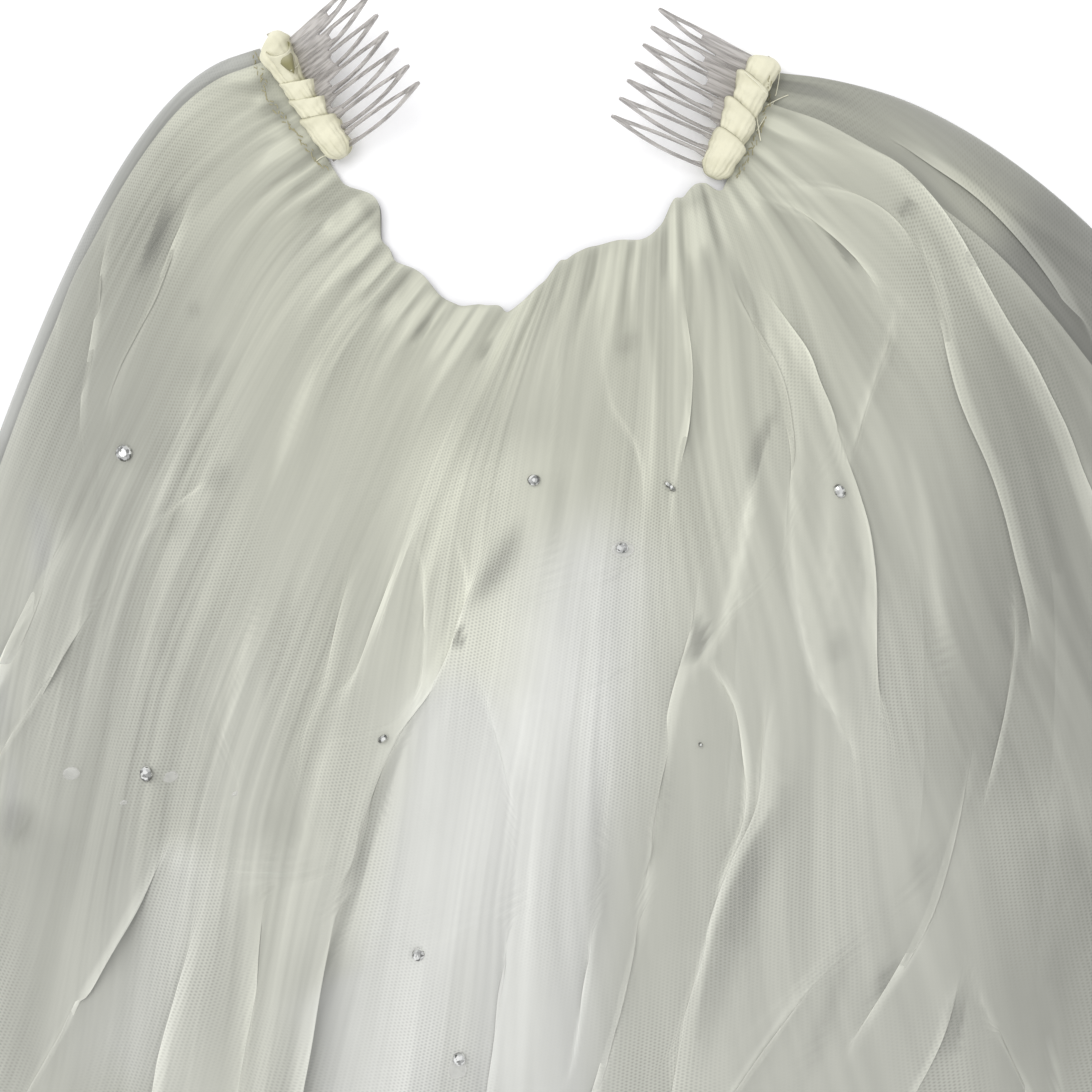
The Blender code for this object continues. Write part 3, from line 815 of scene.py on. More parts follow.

# Where the net is more open (below 0) or drawn together (above 0), how wide in photo
# units, the change of tone and of warmth there, which side of it is crisp (1 for the
# photograph's right, 2 for both), and the line that it follows. The changes of tone are
# painted light and shade: broad strokes paint pools of light and patches of shade, narrow
# ones paint lighter or shaded lines along folds, gathers and recesses.
NET_COLUMNS = ("cover", "tone", "warm", "half_width", "crisp", "path")
UPPER_NET = (
    (-0.26, -0.04, 0.0, 7, -1, (180, 182, 162, 232, 138, 292)),
    (-0.24, -0.08, 0.0, 12, 0, (526, 508, 502, 565, 468, 616)),
    (-0.28, -0.08, 0.0, 6, 2, (459, 622, 466, 652)),
    (-0.19, -0.06, 0.0, 13, 1, (458, 656, 424, 704, 398, 744, 373, 812, 350, 892, 330, 960, 312, 1024)),
    (-0.09, -0.03, 0.0, 20, 1, (244, 800, 228, 900, 216, 1000, 204, 1110)),
    (-0.25, -0.05, 0.0, 6, -1, (816, 228, 838, 252, 854, 282)),
    (-0.16, -0.05, 0.0, 9, 2, (726, 244, 748, 310, 774, 372)),
    (-0.25, -0.06, 0.0, 7, 2, (692, 608, 701, 640, 680, 670)),
    (-0.21, -0.06, 0.0, 14, -1, (802, 732, 786, 800, 764, 850, 740, 910, 716, 1000, 692, 1110)),
    (-0.11, -0.03, 0.0, 9, 0, (842, 900, 834, 972, 815, 1040, 792, 1100)),
    (-0.19, -0.05, 0.0, 12, 2, (962, 982, 950, 1020, 944, 1066)),
    (-0.19, -0.05, 0.0, 9, 0, (884, 948, 872, 1006)),
    (-0.08, -0.03, 0.0, 11, 0, (918, 836, 914, 894)),
    (-0.2, -0.05, 0.0, 6, 1, (774, 400, 756, 438, 742, 506)),
    (-0.1, -0.03, 0.0, 12, 2, (686, 318, 692, 400, 698, 474)),
    (-0.12, -0.03, 0.0, 9, 0, (640, 326, 614, 366)),
    (-0.12, -0.03, 0.0, 10, 0, (236, 458, 206, 498)),
    (-0.11, -0.03, 0.0, 10, 0, (190, 502, 170, 550)),
    (-0.06, -0.02, 0.0, 16, 0, (176, 394, 236, 348)),
    (-0.19, -0.04, 0.0, 4, 1, (494, 334, 476, 368)),
    (-0.19, -0.04, 0.0, 5, 1, (436, 310, 410, 348)),
    (-0.1, -0.02, 0.0, 7, 0, (188, 306, 208, 318)),
    (-0.1, -0.03, 0.0, 11, 0, (604, 724, 600, 892, 588, 1000)),
    (-0.14, -0.05, 0.0, 18, 0, (30, 790, 10, 850)),
    (-0.19, -0.04, 0.0, 8, 2, (892, 206, 912, 216)),
    (-0.12, -0.03, 0.0, 9, 0, (836, 620, 832, 672)),
    # Painted sheen: lighter, cooler patches at the left edge.
    (-0.2, 0.28, -0.4, 11, 0, (30, 478, 42, 530, 32, 592)),
    (-0.19, 0.2, -0.25, 9, 0, (4, 620, 6, 690, 4, 760)),
    (-0.15, 0.2, -0.3, 8, 0, (16, 740, 17, 790, 10, 850)),
    (0.14, 0.03, -0.07, 10, 0, (822, 132, 892, 164, 934, 214, 984, 298, 1048, 410, 1092, 522)),
    (0.12, 0.03, -0.07, 8, 0, (786, 520, 792, 604, 812, 680, 842, 732)),
    (0.12, 0.03, -0.07, 8, 0, (756, 812, 730, 862, 704, 952, 682, 1020)),
    (0.1, 0.02, -0.05, 12, 0, (520, 660, 524, 724, 516, 800)),
    (0.08, 0.02, -0.05, 14, 0, (170, 880, 196, 820)),
    # Painted light and shade in broad strokes: a bright window down the middle, lighter patches beside it,
    # and shade at both sides.
    (0.02, 0.34, -0.85, 62, 0, (600, 470, 590, 600, 570, 720, 545, 840, 530, 980, 520, 1200)),
    (0.02, 0.34, -0.85, 44, 0, (470, 640, 450, 760, 425, 880, 400, 1000, 380, 1200)),
    (0.0, 0.16, -0.4, 46, 0, (330, 960, 350, 1060, 340, 1200)),
    (0.0, 0.12, -0.3, 40, 0, (200, 830, 150, 960, 110, 1100)),
    (0.0, -0.08, 0.0, 70, 0, (990, 260, 1010, 420, 1020, 620, 1010, 820, 1000, 1100)),
    (0.0, -0.15, 0.0, 66, 0, (1040, 200, 1088, 340, 1100, 560, 1100, 800, 1092, 1200)),
    (0.0, -0.08, 0.0, 70, 0, (120, 150, 80, 260, 60, 380, 90, 560)),
    (0.0, 0.22, 0.0, 60, 0, (430, 400, 455, 500, 470, 600, 440, 700, 400, 800, 370, 900, 360, 1010)),
    (0.0, 0.14, 0.0, 50, 0, (520, 420, 535, 520, 520, 620, 510, 720, 500, 800)),
    (0.0, 0.12, 0.0, 60, 0, (250, 820, 225, 950, 210, 1090, 200, 1180)),
    (0.0, -0.1, 0.0, 60, 0, (110, 130, 90, 300, 100, 480, 110, 640, 90, 800, 80, 960)),
    (0.0, -0.14, 0.0, 45, 0, (170, 110, 165, 240, 165, 360, 160, 500)),
    (0.0, -0.17, 0.0, 64, 0, (900, 150, 980, 260, 1000, 400, 995, 560, 985, 720, 975, 860)),
    (0.0, 0.14, 0.0, 46, 0, (445, 560, 465, 660, 455, 780, 430, 900, 410, 1000, 395, 1110)),
    (0.0, 0.10, 0.0, 40, 0, (520, 600, 515, 760, 500, 900, 485, 1110)),
    (0.0, -0.08, 0.0, 50, 0, (1070, 280, 1088, 400, 1092, 480)),
    (0.0, -0.13, 0.0, 64, 0, (1080, 800, 1070, 900, 1050, 1000, 1020, 1100, 1000, 1200)),
    (0.0, 0.1, 0.0, 34, 0, (715, 930, 715, 1010, 705, 1110)),
    # Painted shade round the puckers of the heading, warmer in tone.
    (0.12, -0.22, 0.5, 8, 0, (340, 178, 362, 200, 374, 222, 386, 246)),
    (0.10, -0.16, 0.4, 7, 0, (352, 190, 340, 214, 330, 236)),
    (0.10, -0.12, 0.4, 8, 0, (396, 262, 436, 292, 470, 304, 512, 306)),
    (0.10, -0.14, 0.3, 6, 0, (410, 268, 404, 290, 398, 310)),
    (0.10, -0.12, 0.4, 8, 0, (548, 274, 596, 254, 650, 240)),
    (0.12, -0.18, 0.4, 8, 0, (668, 214, 690, 204, 712, 196, 724, 186)),
    # Broad painted shade at the top right and at the lower left.
    (0.0, -0.10, 0.2, 24, 0, (880, 130, 950, 168, 1010, 226)),
    (0.0, -0.08, 0.0, 40, 0, (40, 800, 20, 920, 0, 1090)),
    # Painted light in narrow lines along folds.
    (0.10, 0.12, 0.0, 6, 0, (752, 430, 742, 532, 722, 630, 700, 664, 676, 700)),
    (0.10, 0.12, 0.0, 6, 0, (690, 640, 714, 672, 734, 720, 741, 788, 732, 850)),
    (0.08, 0.10, 0.0, 6, 0, (640, 300, 650, 380, 648, 470, 640, 560)),
    (0.08, 0.10, 0.0, 8, 0, (812, 420, 824, 500, 826, 580, 836, 660)),
    (0.08, 0.10, 0.0, 7, 0, (890, 400, 920, 500, 940, 620, 948, 740)),
    (0.08, 0.10, 0.0, 6, 0, (270, 560, 250, 640, 228, 730, 214, 800)),
    (0.08, 0.10, 0.0, 6, 0, (212, 340, 190, 420, 160, 500, 132, 560)),
    (0.08, 0.10, 0.0, 7, 0, (480, 420, 452, 500, 424, 580, 400, 640)),
    (0.08, 0.10, 0.0, 7, 0, (330, 330, 296, 420, 268, 500)),
    # Painted shade in narrow lines along folds.
    (-0.08, -0.06, 0.0, 9, 0, (560, 420, 556, 520, 548, 620)),
    (-0.08, -0.06, 0.0, 9, 0, (672, 720, 664, 800, 650, 880)),
    (-0.08, -0.06, 0.0, 8, 0, (850, 600, 868, 690, 890, 770)),
    (-0.08, -0.06, 0.0, 8, 0, (300, 560, 280, 650, 262, 730)),
    (0.08, -0.14, 0.0, 5, 0, (142, 534, 100, 602, 52, 672, 0, 752)),
    (0.08, -0.14, 0.0, 5, 0, (64, 560, 36, 612, 0, 668)),
)
# The lower tier's changes, in the same columns: broad painted light down the middle, near the heading, at the
# left and top right, and painted shade down the right side.
LOWER_NET = (
    (-0.52, 0.1, -0.25, 62, 0, (600, 540, 570, 640, 520, 740, 470, 860, 430, 980, 400, 1120, 380, 1300)),
    (-0.4, 0.1, -0.25, 44, 0, (600, 620, 590, 760, 560, 900, 540, 1040, 520, 1200)),
    (-0.3, 0.06, -0.15, 40, 0, (250, 620, 210, 760, 180, 900)),
    (-0.2, 0.06, -0.15, 46, 0, (860, 560, 880, 700, 860, 860, 850, 1000)),
    (-0.25, 0.12, -0.3, 22, 0, (36, 490, 44, 540, 20, 640, 6, 760)),
    (0.06, -0.1, 0.0, 80, 0, (1000, 160, 1070, 300, 1090, 480, 1092, 700, 1080, 900)),
    (0.04, 0.22, -0.55, 70, 0, (420, 330, 520, 360, 620, 330)),
    (0.04, 0.16, -0.4, 60, 0, (300, 210, 360, 290, 420, 340)),
    (0.04, 0.16, -0.4, 60, 0, (620, 300, 700, 240, 760, 200)),
    (-0.05, 0.26, -0.3, 26, 0, (330, 0, 240, 46, 162, 92, 100, 162, 74, 220, 42, 294, 12, 380, -30, 500)),
    (0.0, 0.10, 0.5, 52, 0, (690, 60, 780, 88, 860, 118, 930, 156, 980, 206, 1020, 262)),
    (0.0, -0.04, 0.2, 44, 0, (940, 140, 1010, 206, 1070, 282, 1120, 360, 1160, 440)),
)
# The shade beside each comb's stitches, which both tiers have
SEAM_NET = (
    (0.15, -0.26, 0.9, 8, 0, (236, 30, 254, 50, 260, 74, 271, 100, 289, 126, 307, 148, 326, 168, 344, 190)),
    (0.15, -0.20, 0.9, 6, 0, (770, 60, 771, 80, 772, 96, 766, 118, 754, 148, 740, 176, 730, 196)),
)


@dataclass
class TulleTier:
    """One tier of tulle as a single sheet, from the front of the heading to its hem.

    The sheet is a grid of columns that run down the cloth. A share is measured along the
    heading and a way down the cloth, each from 0 to 1. The gains say how much a fold's crest,
    the cloth beside it and its turned cloth add to the cover and to the tone; the tone gains
    paint light on the crest and on the turned cloth, and light and shade to either side of the fold.
    """

    tier: Tier
    name: str
    layout: FanLayout
    over: tuple[str, ...]
    cut: tuple[float, float]
    cut_area: float
    folds: Table
    net: Table
    from_share: float = 0.0
    to_share: float = 1.0
    to_way: float = 1.0
    cover: float = 0.85
    # tone and hem_tone set the tone level; the lower tier's low tone is painted shade, lifted towards the hem
    # by hem_tone.
    tone: float = 0.6
    hem_tone: float = 0.0
    net_turn_deg: float = 0.0
    warmth: float = 1.0
    columns: int = 830
    head_rows: int = 8
    near_rows: int = 94
    far_rows: int = 18
    near_way: float = 0.47
    tucks: int = 150
    overlap_share: float = 0.78
    lift_share: float = 0.42
    half_turns: float = 1.77
    fold_reach: float = 0.014
    rise_reach: float = 0.012
    averaged_over: float = 0.010
    crossing: float = 0.20
    least_gap: float = 0.28
    straight_way: float = 0.055
    fine_stroke: int = 25
    half_wall: float = 0.00055
    floor_gap: float = 0.0003
    laid_gap: float = 0.0004
    nose_share: float = 0.46
    cover_gains: tuple[float, float, float] = (0.18, 0.035, 0.08)
    fold_light_and_shade_gains: tuple[float, float, float] = (0.13, 0.02, 0.14)
    seed: int = 3
    head: np.ndarray = field(init=False)
    way_rows: int = field(init=False)
    share: np.ndarray = field(init=False)
    way: np.ndarray = field(init=False)
    places: np.ndarray = field(init=False)
    layout_places: np.ndarray = field(init=False)
    heights: np.ndarray = field(init=False)
    measured: list = field(init=False)

    def __post_init__(self) -> None:
        """Lay out the grid of the sheet, flat on the table, with its columns close at folds."""
        near = np.linspace(0, self.near_way, self.near_rows)
        far = np.linspace(self.near_way, self.to_way, self.far_rows + 1)[1:]
        self.head = np.linspace(0, 1, self.head_rows, endpoint=False) ** 1.6
        self.way_rows = self.near_rows + self.far_rows
        self.way = np.tile(np.concatenate([np.zeros(self.head_rows), near, far]), (self.columns, 1))
        shares = np.linspace(self.from_share, self.to_share, self.columns)
        self.share = np.repeat(shares[:, None], self.head_rows + self.way_rows, axis=1)
        self.places = self.plan()
        self.draw_columns_to_folds()
        self.lead_columns_along_folds()
        self.straighten_columns_at_heading()
        self.places = self.plan()
        self.heights = np.zeros(self.share.shape)

    def plan(self) -> np.ndarray:
        """Give the place of every point of the grid on the table, in metres."""
        top = self.share[:, : self.head_rows]
        nose, start = self.layout.nose(top), self.layout.start(top)
        head = nose + (start - nose) * self.head[None, :, None]
        down = self.layout.cloth(self.share[:, self.head_rows :], self.way[:, self.head_rows :])
        return np.concatenate([head, down], axis=1) * MM + np.array(PHOTO_CENTRE)

    def draw_columns_to_folds(self) -> None:
        """Space the columns up to seven times closer where a fold or a fine stroke runs."""
        flat = self.places.reshape(-1, 2)
        interest = np.ones(len(flat))
        for row in rows_of(self.folds):
            reach = row["overlap"] * MM * 1.1
            inside, off, along, _ = Path(row["path"]).measure(flat, 4 * reach)
            ends = np.sqrt(line_ends(along, row["fade_in"], row["fade_out"]))
            interest[inside] += 5.0 * ends * bell(off / reach)
        for row in rows_of(self.net):
            if row["half_width"] < self.fine_stroke:
                reach = row["half_width"] * PHOTO_UNIT
                inside, off, along, _ = Path(row["path"]).measure(flat, 3 * reach)
                interest[inside] += 1.2 * bell(off / reach) * line_ends(along, 0.25, 0.25)
        interest = np.minimum(interest, 7.0).reshape(self.share.shape)
        total = np.cumsum(interest, axis=0)
        total = (total - total[0]) / (total[-1] - total[0])
        wanted = np.linspace(0, 1, self.columns)
        drawn = [np.interp(wanted, so_far, shares) for so_far, shares in zip(total.T, self.share.T)]
        self.share = np.stack(drawn, axis=1)
        smooth_down(self.share, 10)

    def lead_columns_along_folds(self) -> None:
        """Shift the columns sideways so that one of them runs along each fold."""
        way = self.way[0]
        number = np.arange(self.columns, dtype=float)
        shift = np.zeros(self.share.shape)
        weight = np.full(self.share.shape, 0.05)
        placed = []
        for row in rows_of(self.folds):
            share, down = self.layout.locate(Path(row["path"]).line)
            order = np.argsort(down)
            down, share = down[order], share[order]
            line = np.interp(way, down, share)
            on_column = np.array([np.interp(at, shares, number) for at, shares in zip(line, self.share.T)])
            held = ease((way - down[0]) / 0.05 + 1) * ease((down[-1] - way) / 0.05 + 1)
            held[: self.head_rows] *= 0.2
            for other, other_held, other_middle in placed:
                gap = on_column - other
                held = held * (1 - other_held * bell(gap / 12))
                middle = np.average(on_column, weights=held + 1e-6)
                crosses = (gap * (middle - other_middle) < 0) & (other_held > 0.05)
                held = held * np.where(crosses, 0.0, 1.0)
            held = smoothed(held, 6)
            middle = np.average(on_column, weights=held + 1e-6)
            placed.append((on_column, held, middle))
            reach = 14 + 1.6 * np.max(np.abs(on_column - middle) * held)
            away = number[:, None] - middle
            near = held * bell(away / reach) / (away**2 / 16 + 0.04)
            shift += near * (on_column - middle)
            weight += near
        shift = shift / weight * ease(np.minimum(number, number[::-1]) / 20)[:, None]
        smooth_down(shift, 6)
        least = self.least_gap * number[:, None]
        drawn = np.maximum.accumulate(number[:, None] + shift - least, axis=0) + least
        drawn = np.minimum(drawn, self.columns - 1 - self.least_gap * number[::-1, None])
        for _ in range(8):
            smooth_down(drawn, 1)
            smooth_down(drawn.T, 1)
        moved = [np.interp(to, number, shares) for to, shares in zip(drawn.T, self.share.T)]
        self.share = np.stack(moved, axis=1)

    def straighten_columns_at_heading(self) -> None:
        """Let the columns leave the heading straight, so that its gathers run along them."""
        first = int(np.searchsorted(self.way[0], self.straight_way))
        steady = self.share.copy()
        steady[:, :first] = steady[:, first : first + 1]
        smooth_down(steady, 50)
        own = ease((self.way[0] - 0.07) / 0.12)
        self.share = steady * (1 - own) + self.share * own

    def lay(self) -> None:
        """Take the sheet's heights from the middle of the solids' walls."""
        solids = surface_of([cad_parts[name] for name in self.over])
        for i, j in np.ndindex(*self.heights.shape):
            hit = height_at(solids, *self.places[i, j])
            self.heights[i, j] = np.nan if hit is None else hit - self.half_wall
        for heights in self.heights:
            known = np.nonzero(~np.isnan(heights))[0]
            if len(known):
                heights[:] = np.interp(np.arange(len(heights)), known, heights[known])
        known = np.nonzero(~np.isnan(self.heights[:, 0]))[0]
        for heights in self.heights.T:
            heights[:] = np.interp(np.arange(self.columns), known, heights[known])
        top = self.heights[:, self.head_rows // 2].copy()
        rise = np.sqrt(1 - (1 - np.clip(self.head / 0.3, 0, 1)) ** 2)
        for j, part in enumerate(rise):
            if self.tier is Tier.UPPER:
                self.heights[:, j] = top * (self.nose_share + (1 - self.nose_share) * part) + self.floor_gap
            else:
                under = self.heights[:, self.head_rows]
                self.heights[:, j] = top * self.nose_share * (1 - part) + under * part
        for _ in range(3):
            self.heights = self.softened(self.heights)
        self.heights = np.maximum(self.heights, self.laid_gap)

    @staticmethod
    def softened(grid: np.ndarray) -> np.ndarray:
        """Average each height a little with its neighbours."""
        padded = np.pad(grid, ((2, 2), (1, 1)), mode="edge")
        across = (padded[:-4] + 2 * padded[1:-3] + 3 * padded[2:-2] + 2 * padded[3:-1] + padded[4:]) / 9
        return (across[:, :-2] + 2 * across[:, 1:-1] + across[:, 2:]) / 4

    def measure_folds(self) -> list[tuple]:
        """Measure the flat sheet once against every fold.

        Returns:
            For each fold: its row, the points near it, their distance to it, the way square
            to it, how strong it is there, and half the width of its turn in metres.
        """
        flat = self.places.reshape(-1, 2)
        taken = np.zeros(len(flat))
        ways = self.column_ways()
        measured = []
        for row in rows_of(self.folds):
            path = Path(row["path"])
            inside, off, along, normal = path.measure(flat, 0.03)
            half = row["overlap"] * self.overlap_share * MM / self.half_turns
            strength = line_ends(along, row["fade_in"], row["fade_out"])
            across = np.abs(np.sum(normal * ways[inside], axis=1))
            give = (1 - taken[inside]) * bell(across / self.crossing)
            count = max(4, int(path.length / self.averaged_over))
            near = np.abs(off) < 1.5 * half
            part = np.minimum((along[near] * count).astype(int), count - 1)
            mean = np.bincount(part, give[near], count) / np.maximum(np.bincount(part, minlength=count), 1)
            mean = smoothed(mean, 5)
            strength = strength * np.interp(along, (np.arange(count) + 0.5) / count, mean)
            taken[inside] = np.maximum(taken[inside], strength * bell(off / (3.0 * half)))
            measured.append((row, inside, off, normal, strength, half))
        return measured

    def column_ways(self) -> np.ndarray:
        """Give the way that the grid's columns run at each of its points."""
        ways = np.gradient(self.places, axis=1)
        return (ways / np.linalg.norm(ways, axis=2, keepdims=True)).reshape(-1, 2)

    def fold(self) -> None:
        """Lay in the listed folds: each one doubles the cloth back on itself."""
        moved = np.zeros((self.places.size // 2, 2))
        lift = np.zeros(len(moved))
        for row, inside, off, normal, strength, half in self.measured:
            x = off / half
            turned = 4 * half * x / (1 + (x / 0.75) ** 2) * bell(off / self.fold_reach)
            moved[inside] -= normal * (turned * strength)[:, None]
            up = x * row["side"]
            rise = (0.5 + 0.5 * np.tanh(1.8 * up)) * bell(np.maximum(up, 0) * half / self.rise_reach)
            lift[inside] += row["lift"] * self.lift_share * MM * rise * strength
        moved = moved.reshape(self.places.shape)
        lift = lift.reshape(self.heights.shape)
        smooth_down(moved, 8)
        smooth_down(lift, 8)
        self.places = self.places + moved
        self.heights = self.heights + lift

    def tuck(self) -> None:
        """Add the fine tucks that run out from the gathers and fade away."""
        chance = random.Random(self.seed)
        down = self.way
        run = np.linalg.norm(np.gradient(self.layout_places.reshape(self.places.shape), axis=0), axis=2)
        width = run / np.maximum(np.gradient(self.share, axis=0), 1e-6)
        for _ in range(self.tucks):
            share = chance.uniform(self.from_share, self.to_share)
            reach = chance.choice((0.05, 0.09, 0.14, 0.22, 0.34))
            wander = chance.uniform(-0.03, 0.03)
            half = chance.uniform(0.8, 2.4) * MM
            high = chance.uniform(0.2, 0.72) * chance.choice((1, 1, -0.7)) * MM
            x = (self.share - share - wander * down) * width / half
            fade = bell(down / reach) * (0.35 + 0.65 * ease(down / 0.02))
            self.heights += high * bell(x) * fade
        crinkle = np.zeros_like(self.heights)
        for _ in range(26):
            kx, ky = chance.uniform(-90, 90), chance.uniform(-40, 40)
            phase = chance.uniform(0, 6.28)
            crinkle += np.sin(kx * self.places[..., 0] + ky * self.places[..., 1] + phase)
        self.heights += 0.00008 * crinkle * ease(down / 0.1)
        self.heights = np.maximum(self.heights, self.floor_gap)

    def weave(self, normals: np.ndarray) -> np.ndarray:
        """Work out how much the net covers, its tone, with its painted light and shade, and its warmth at
        each point.

        Args:
            normals: the sheet's normals, one a point.

        Returns:
            Cover, tone, warmth and how plainly the net shows, one row a point.
        """
        flat = self.layout_places
        way = self.way.reshape(-1)
        cover = np.full(len(flat), self.cover)
        tone = np.full(len(flat), self.tone)
        warmth = self.warmth * (0.45 + 0.55 * bell(way / 0.22))
        for row in rows_of(self.net):
            half = row["half_width"] * PHOTO_UNIT
            inside, off, along, _ = Path(row["path"]).measure(flat, half * 2.5)
            fade = 0.42 if row["half_width"] < self.fine_stroke else 0.15
            ends = line_ends(along, fade, fade)
            x = off / (half * (0.2 + 0.8 * np.sqrt(ends)))
            crisp = 1 - ease((np.abs(x) - 0.75) / 0.35)
            sharp = (row["crisp"] == 2) | (np.sign(x) == row["crisp"])
            stroke = np.where(sharp, crisp, bell(x)) * ends
            cover[inside] += row["cover"] * stroke
            tone[inside] += row["tone"] * stroke
            warmth[inside] += row["warm"] * stroke
        # Painted light along each fold's crest and turned cloth, painted shade beside the fold on the side
        # under its top layer and a little painted light on the other side; the cover grows with the doubled
        # cloth.
        for row, inside, off, _, strength, half in self.measured:
            crest = bell((np.abs(off) - 0.51 * half) / (0.26 * half + 0.1 * MM))
            up = off * row["side"]
            beside = np.where(up > 0, bell(up / 0.007), -1.3 * bell(up / 0.0045))
            turned = ease((up / half - 0.3) / 0.3) * (1 - ease((up / half - 1.4) / 0.8))
            parts = (crest, beside, turned)
            cover[inside] += strength * sum(gain * part for gain, part in zip(self.cover_gains, parts))
            tone[inside] += strength * sum(gain * part for gain, part in zip(self.fold_light_and_shade_gains, parts))
        # hem_tone lifts the lower tier's painted shade towards the hem.
        tone += self.hem_tone * ease((way - 0.48) / 0.2)
        closer = self.gathers()
        cover += 0.12 * closer
        # Painted shade near the heading, on a tone that also follows the gathers.
        tone += 0.07 * closer - 0.12 * np.exp(-way / 0.11)
        steep = 1 / np.clip(np.abs(normals[:, 2]), 0.22, 1.0)
        cover = 1 - (1 - np.clip(cover, 0.05, 0.97)) ** steep
        cover = np.clip(cover + 0.12 * np.exp(-way / 0.05), 0.04, 0.98)
        return np.stack([cover, np.clip(tone, 0.1, 1.25), np.clip(warmth, 0, 1), self.net_seen()], axis=1)

    def gathers(self) -> np.ndarray:
        """Give how much closer the net lies in the fine gathers that leave the heading."""
        chance = random.Random(self.seed + 70)
        way = self.way.copy()
        way[:, : self.head_rows] = 0.012 * (1 - self.head)
        closer = np.zeros(way.shape)
        for _ in range(220):
            share = chance.uniform(self.from_share, self.to_share)
            half = chance.uniform(0.0032, 0.0075)
            reach = chance.choice((0.010, 0.016, 0.025, 0.045))
            lean = chance.uniform(-0.14, 0.14)
            x = (self.share - share - lean * way) / half
            closer += chance.choice((-1.0, -0.6, 0.7, 1.0)) * np.exp(-x * x - (way / reach) ** 2)
        return np.clip(closer, -1.1, 1.1).reshape(-1)

    def net_seen(self) -> np.ndarray:
        """Give how plainly the net shows at each point: it comes and goes in soft patches."""
        chance = random.Random(self.seed + 40)
        flat = self.layout_places
        patches = np.zeros(len(flat))
        for _ in range(40):
            kx, ky = chance.uniform(-150, 150), chance.uniform(-70, 70)
            patches += np.sin(kx * flat[:, 0] + ky * flat[:, 1] + chance.uniform(0, 6.28))
        return np.clip(0.7 + 0.24 * patches, 0.10, 1.9) * (1 - 0.5 * bell(self.way.reshape(-1) / 0.07))

    def build(self, material: bpy.types.Material) -> bpy.types.Object:
        """Build the sheet with its net coordinates and its weave.

        Args:
            material: the tulle.

        Returns:
            The sheet.
        """
        rows = self.head_rows + self.way_rows
        bm = bmesh.new()
        bmesh.ops.create_grid(bm, x_segments=rows - 1, y_segments=self.columns - 1, size=0.5)
        sheet = finished(self.name, bm, material)
        mesh = sheet.data
        self.layout_places = self.places.reshape(-1, 2).copy()
        self.lay()
        self.measured = self.measure_folds()
        self.fold()
        self.tuck()
        points = np.concatenate([self.places, self.heights[..., None]], axis=2).reshape(-1, 3)
        mesh.vertices.foreach_set("co", points.astype(np.float32).ravel())
        mesh.update()
        normals = np.zeros(len(points) * 3, np.float32)
        mesh.vertex_normals.foreach_get("vector", normals)
        normals = normals.reshape(-1, 3)
        if normals[:, 2].mean() < 0:
            mesh.flip_normals()
        turn = np.radians(self.net_turn_deg + 0.35 * self.layout.at("leaves_deg", self.share.reshape(-1)))
        x, y = (self.layout_places - np.array(PHOTO_CENTRE)).T
        net = (x * np.cos(turn) + y * np.sin(turn), y * np.cos(turn) - x * np.sin(turn))
        down = self.way.copy()
        down[:, : self.head_rows] = 0.02 * (self.head - 1)
        run = (self.share.ravel(), down.ravel())
        corners = np.zeros(len(mesh.loops), np.int32)
        mesh.loops.foreach_get("vertex_index", corners)
        for layer, places in (("net", net), ("run", run)):
            places = np.stack(places, axis=1)[corners].astype(np.float32)
            mesh.uv_layers.new(name=layer).data.foreach_set("uv", places.ravel())
        weave = mesh.color_attributes.new("weave", "FLOAT_COLOR", "POINT")
        weave.data.foreach_set("color", self.weave(normals).astype(np.float32).ravel())
        return sheet

    @property
    def rests_on(self) -> tuple[str, ...]:
        """Name what this tier lies on."""
        return ("tulle_sheet_lower",) if self.tier is Tier.UPPER else ("comb_left_clear", "comb_right_clear")


class Side(Enum):
    """The veil's two ends, each with its comb."""

    LEFT = "left"
    RIGHT = "right"


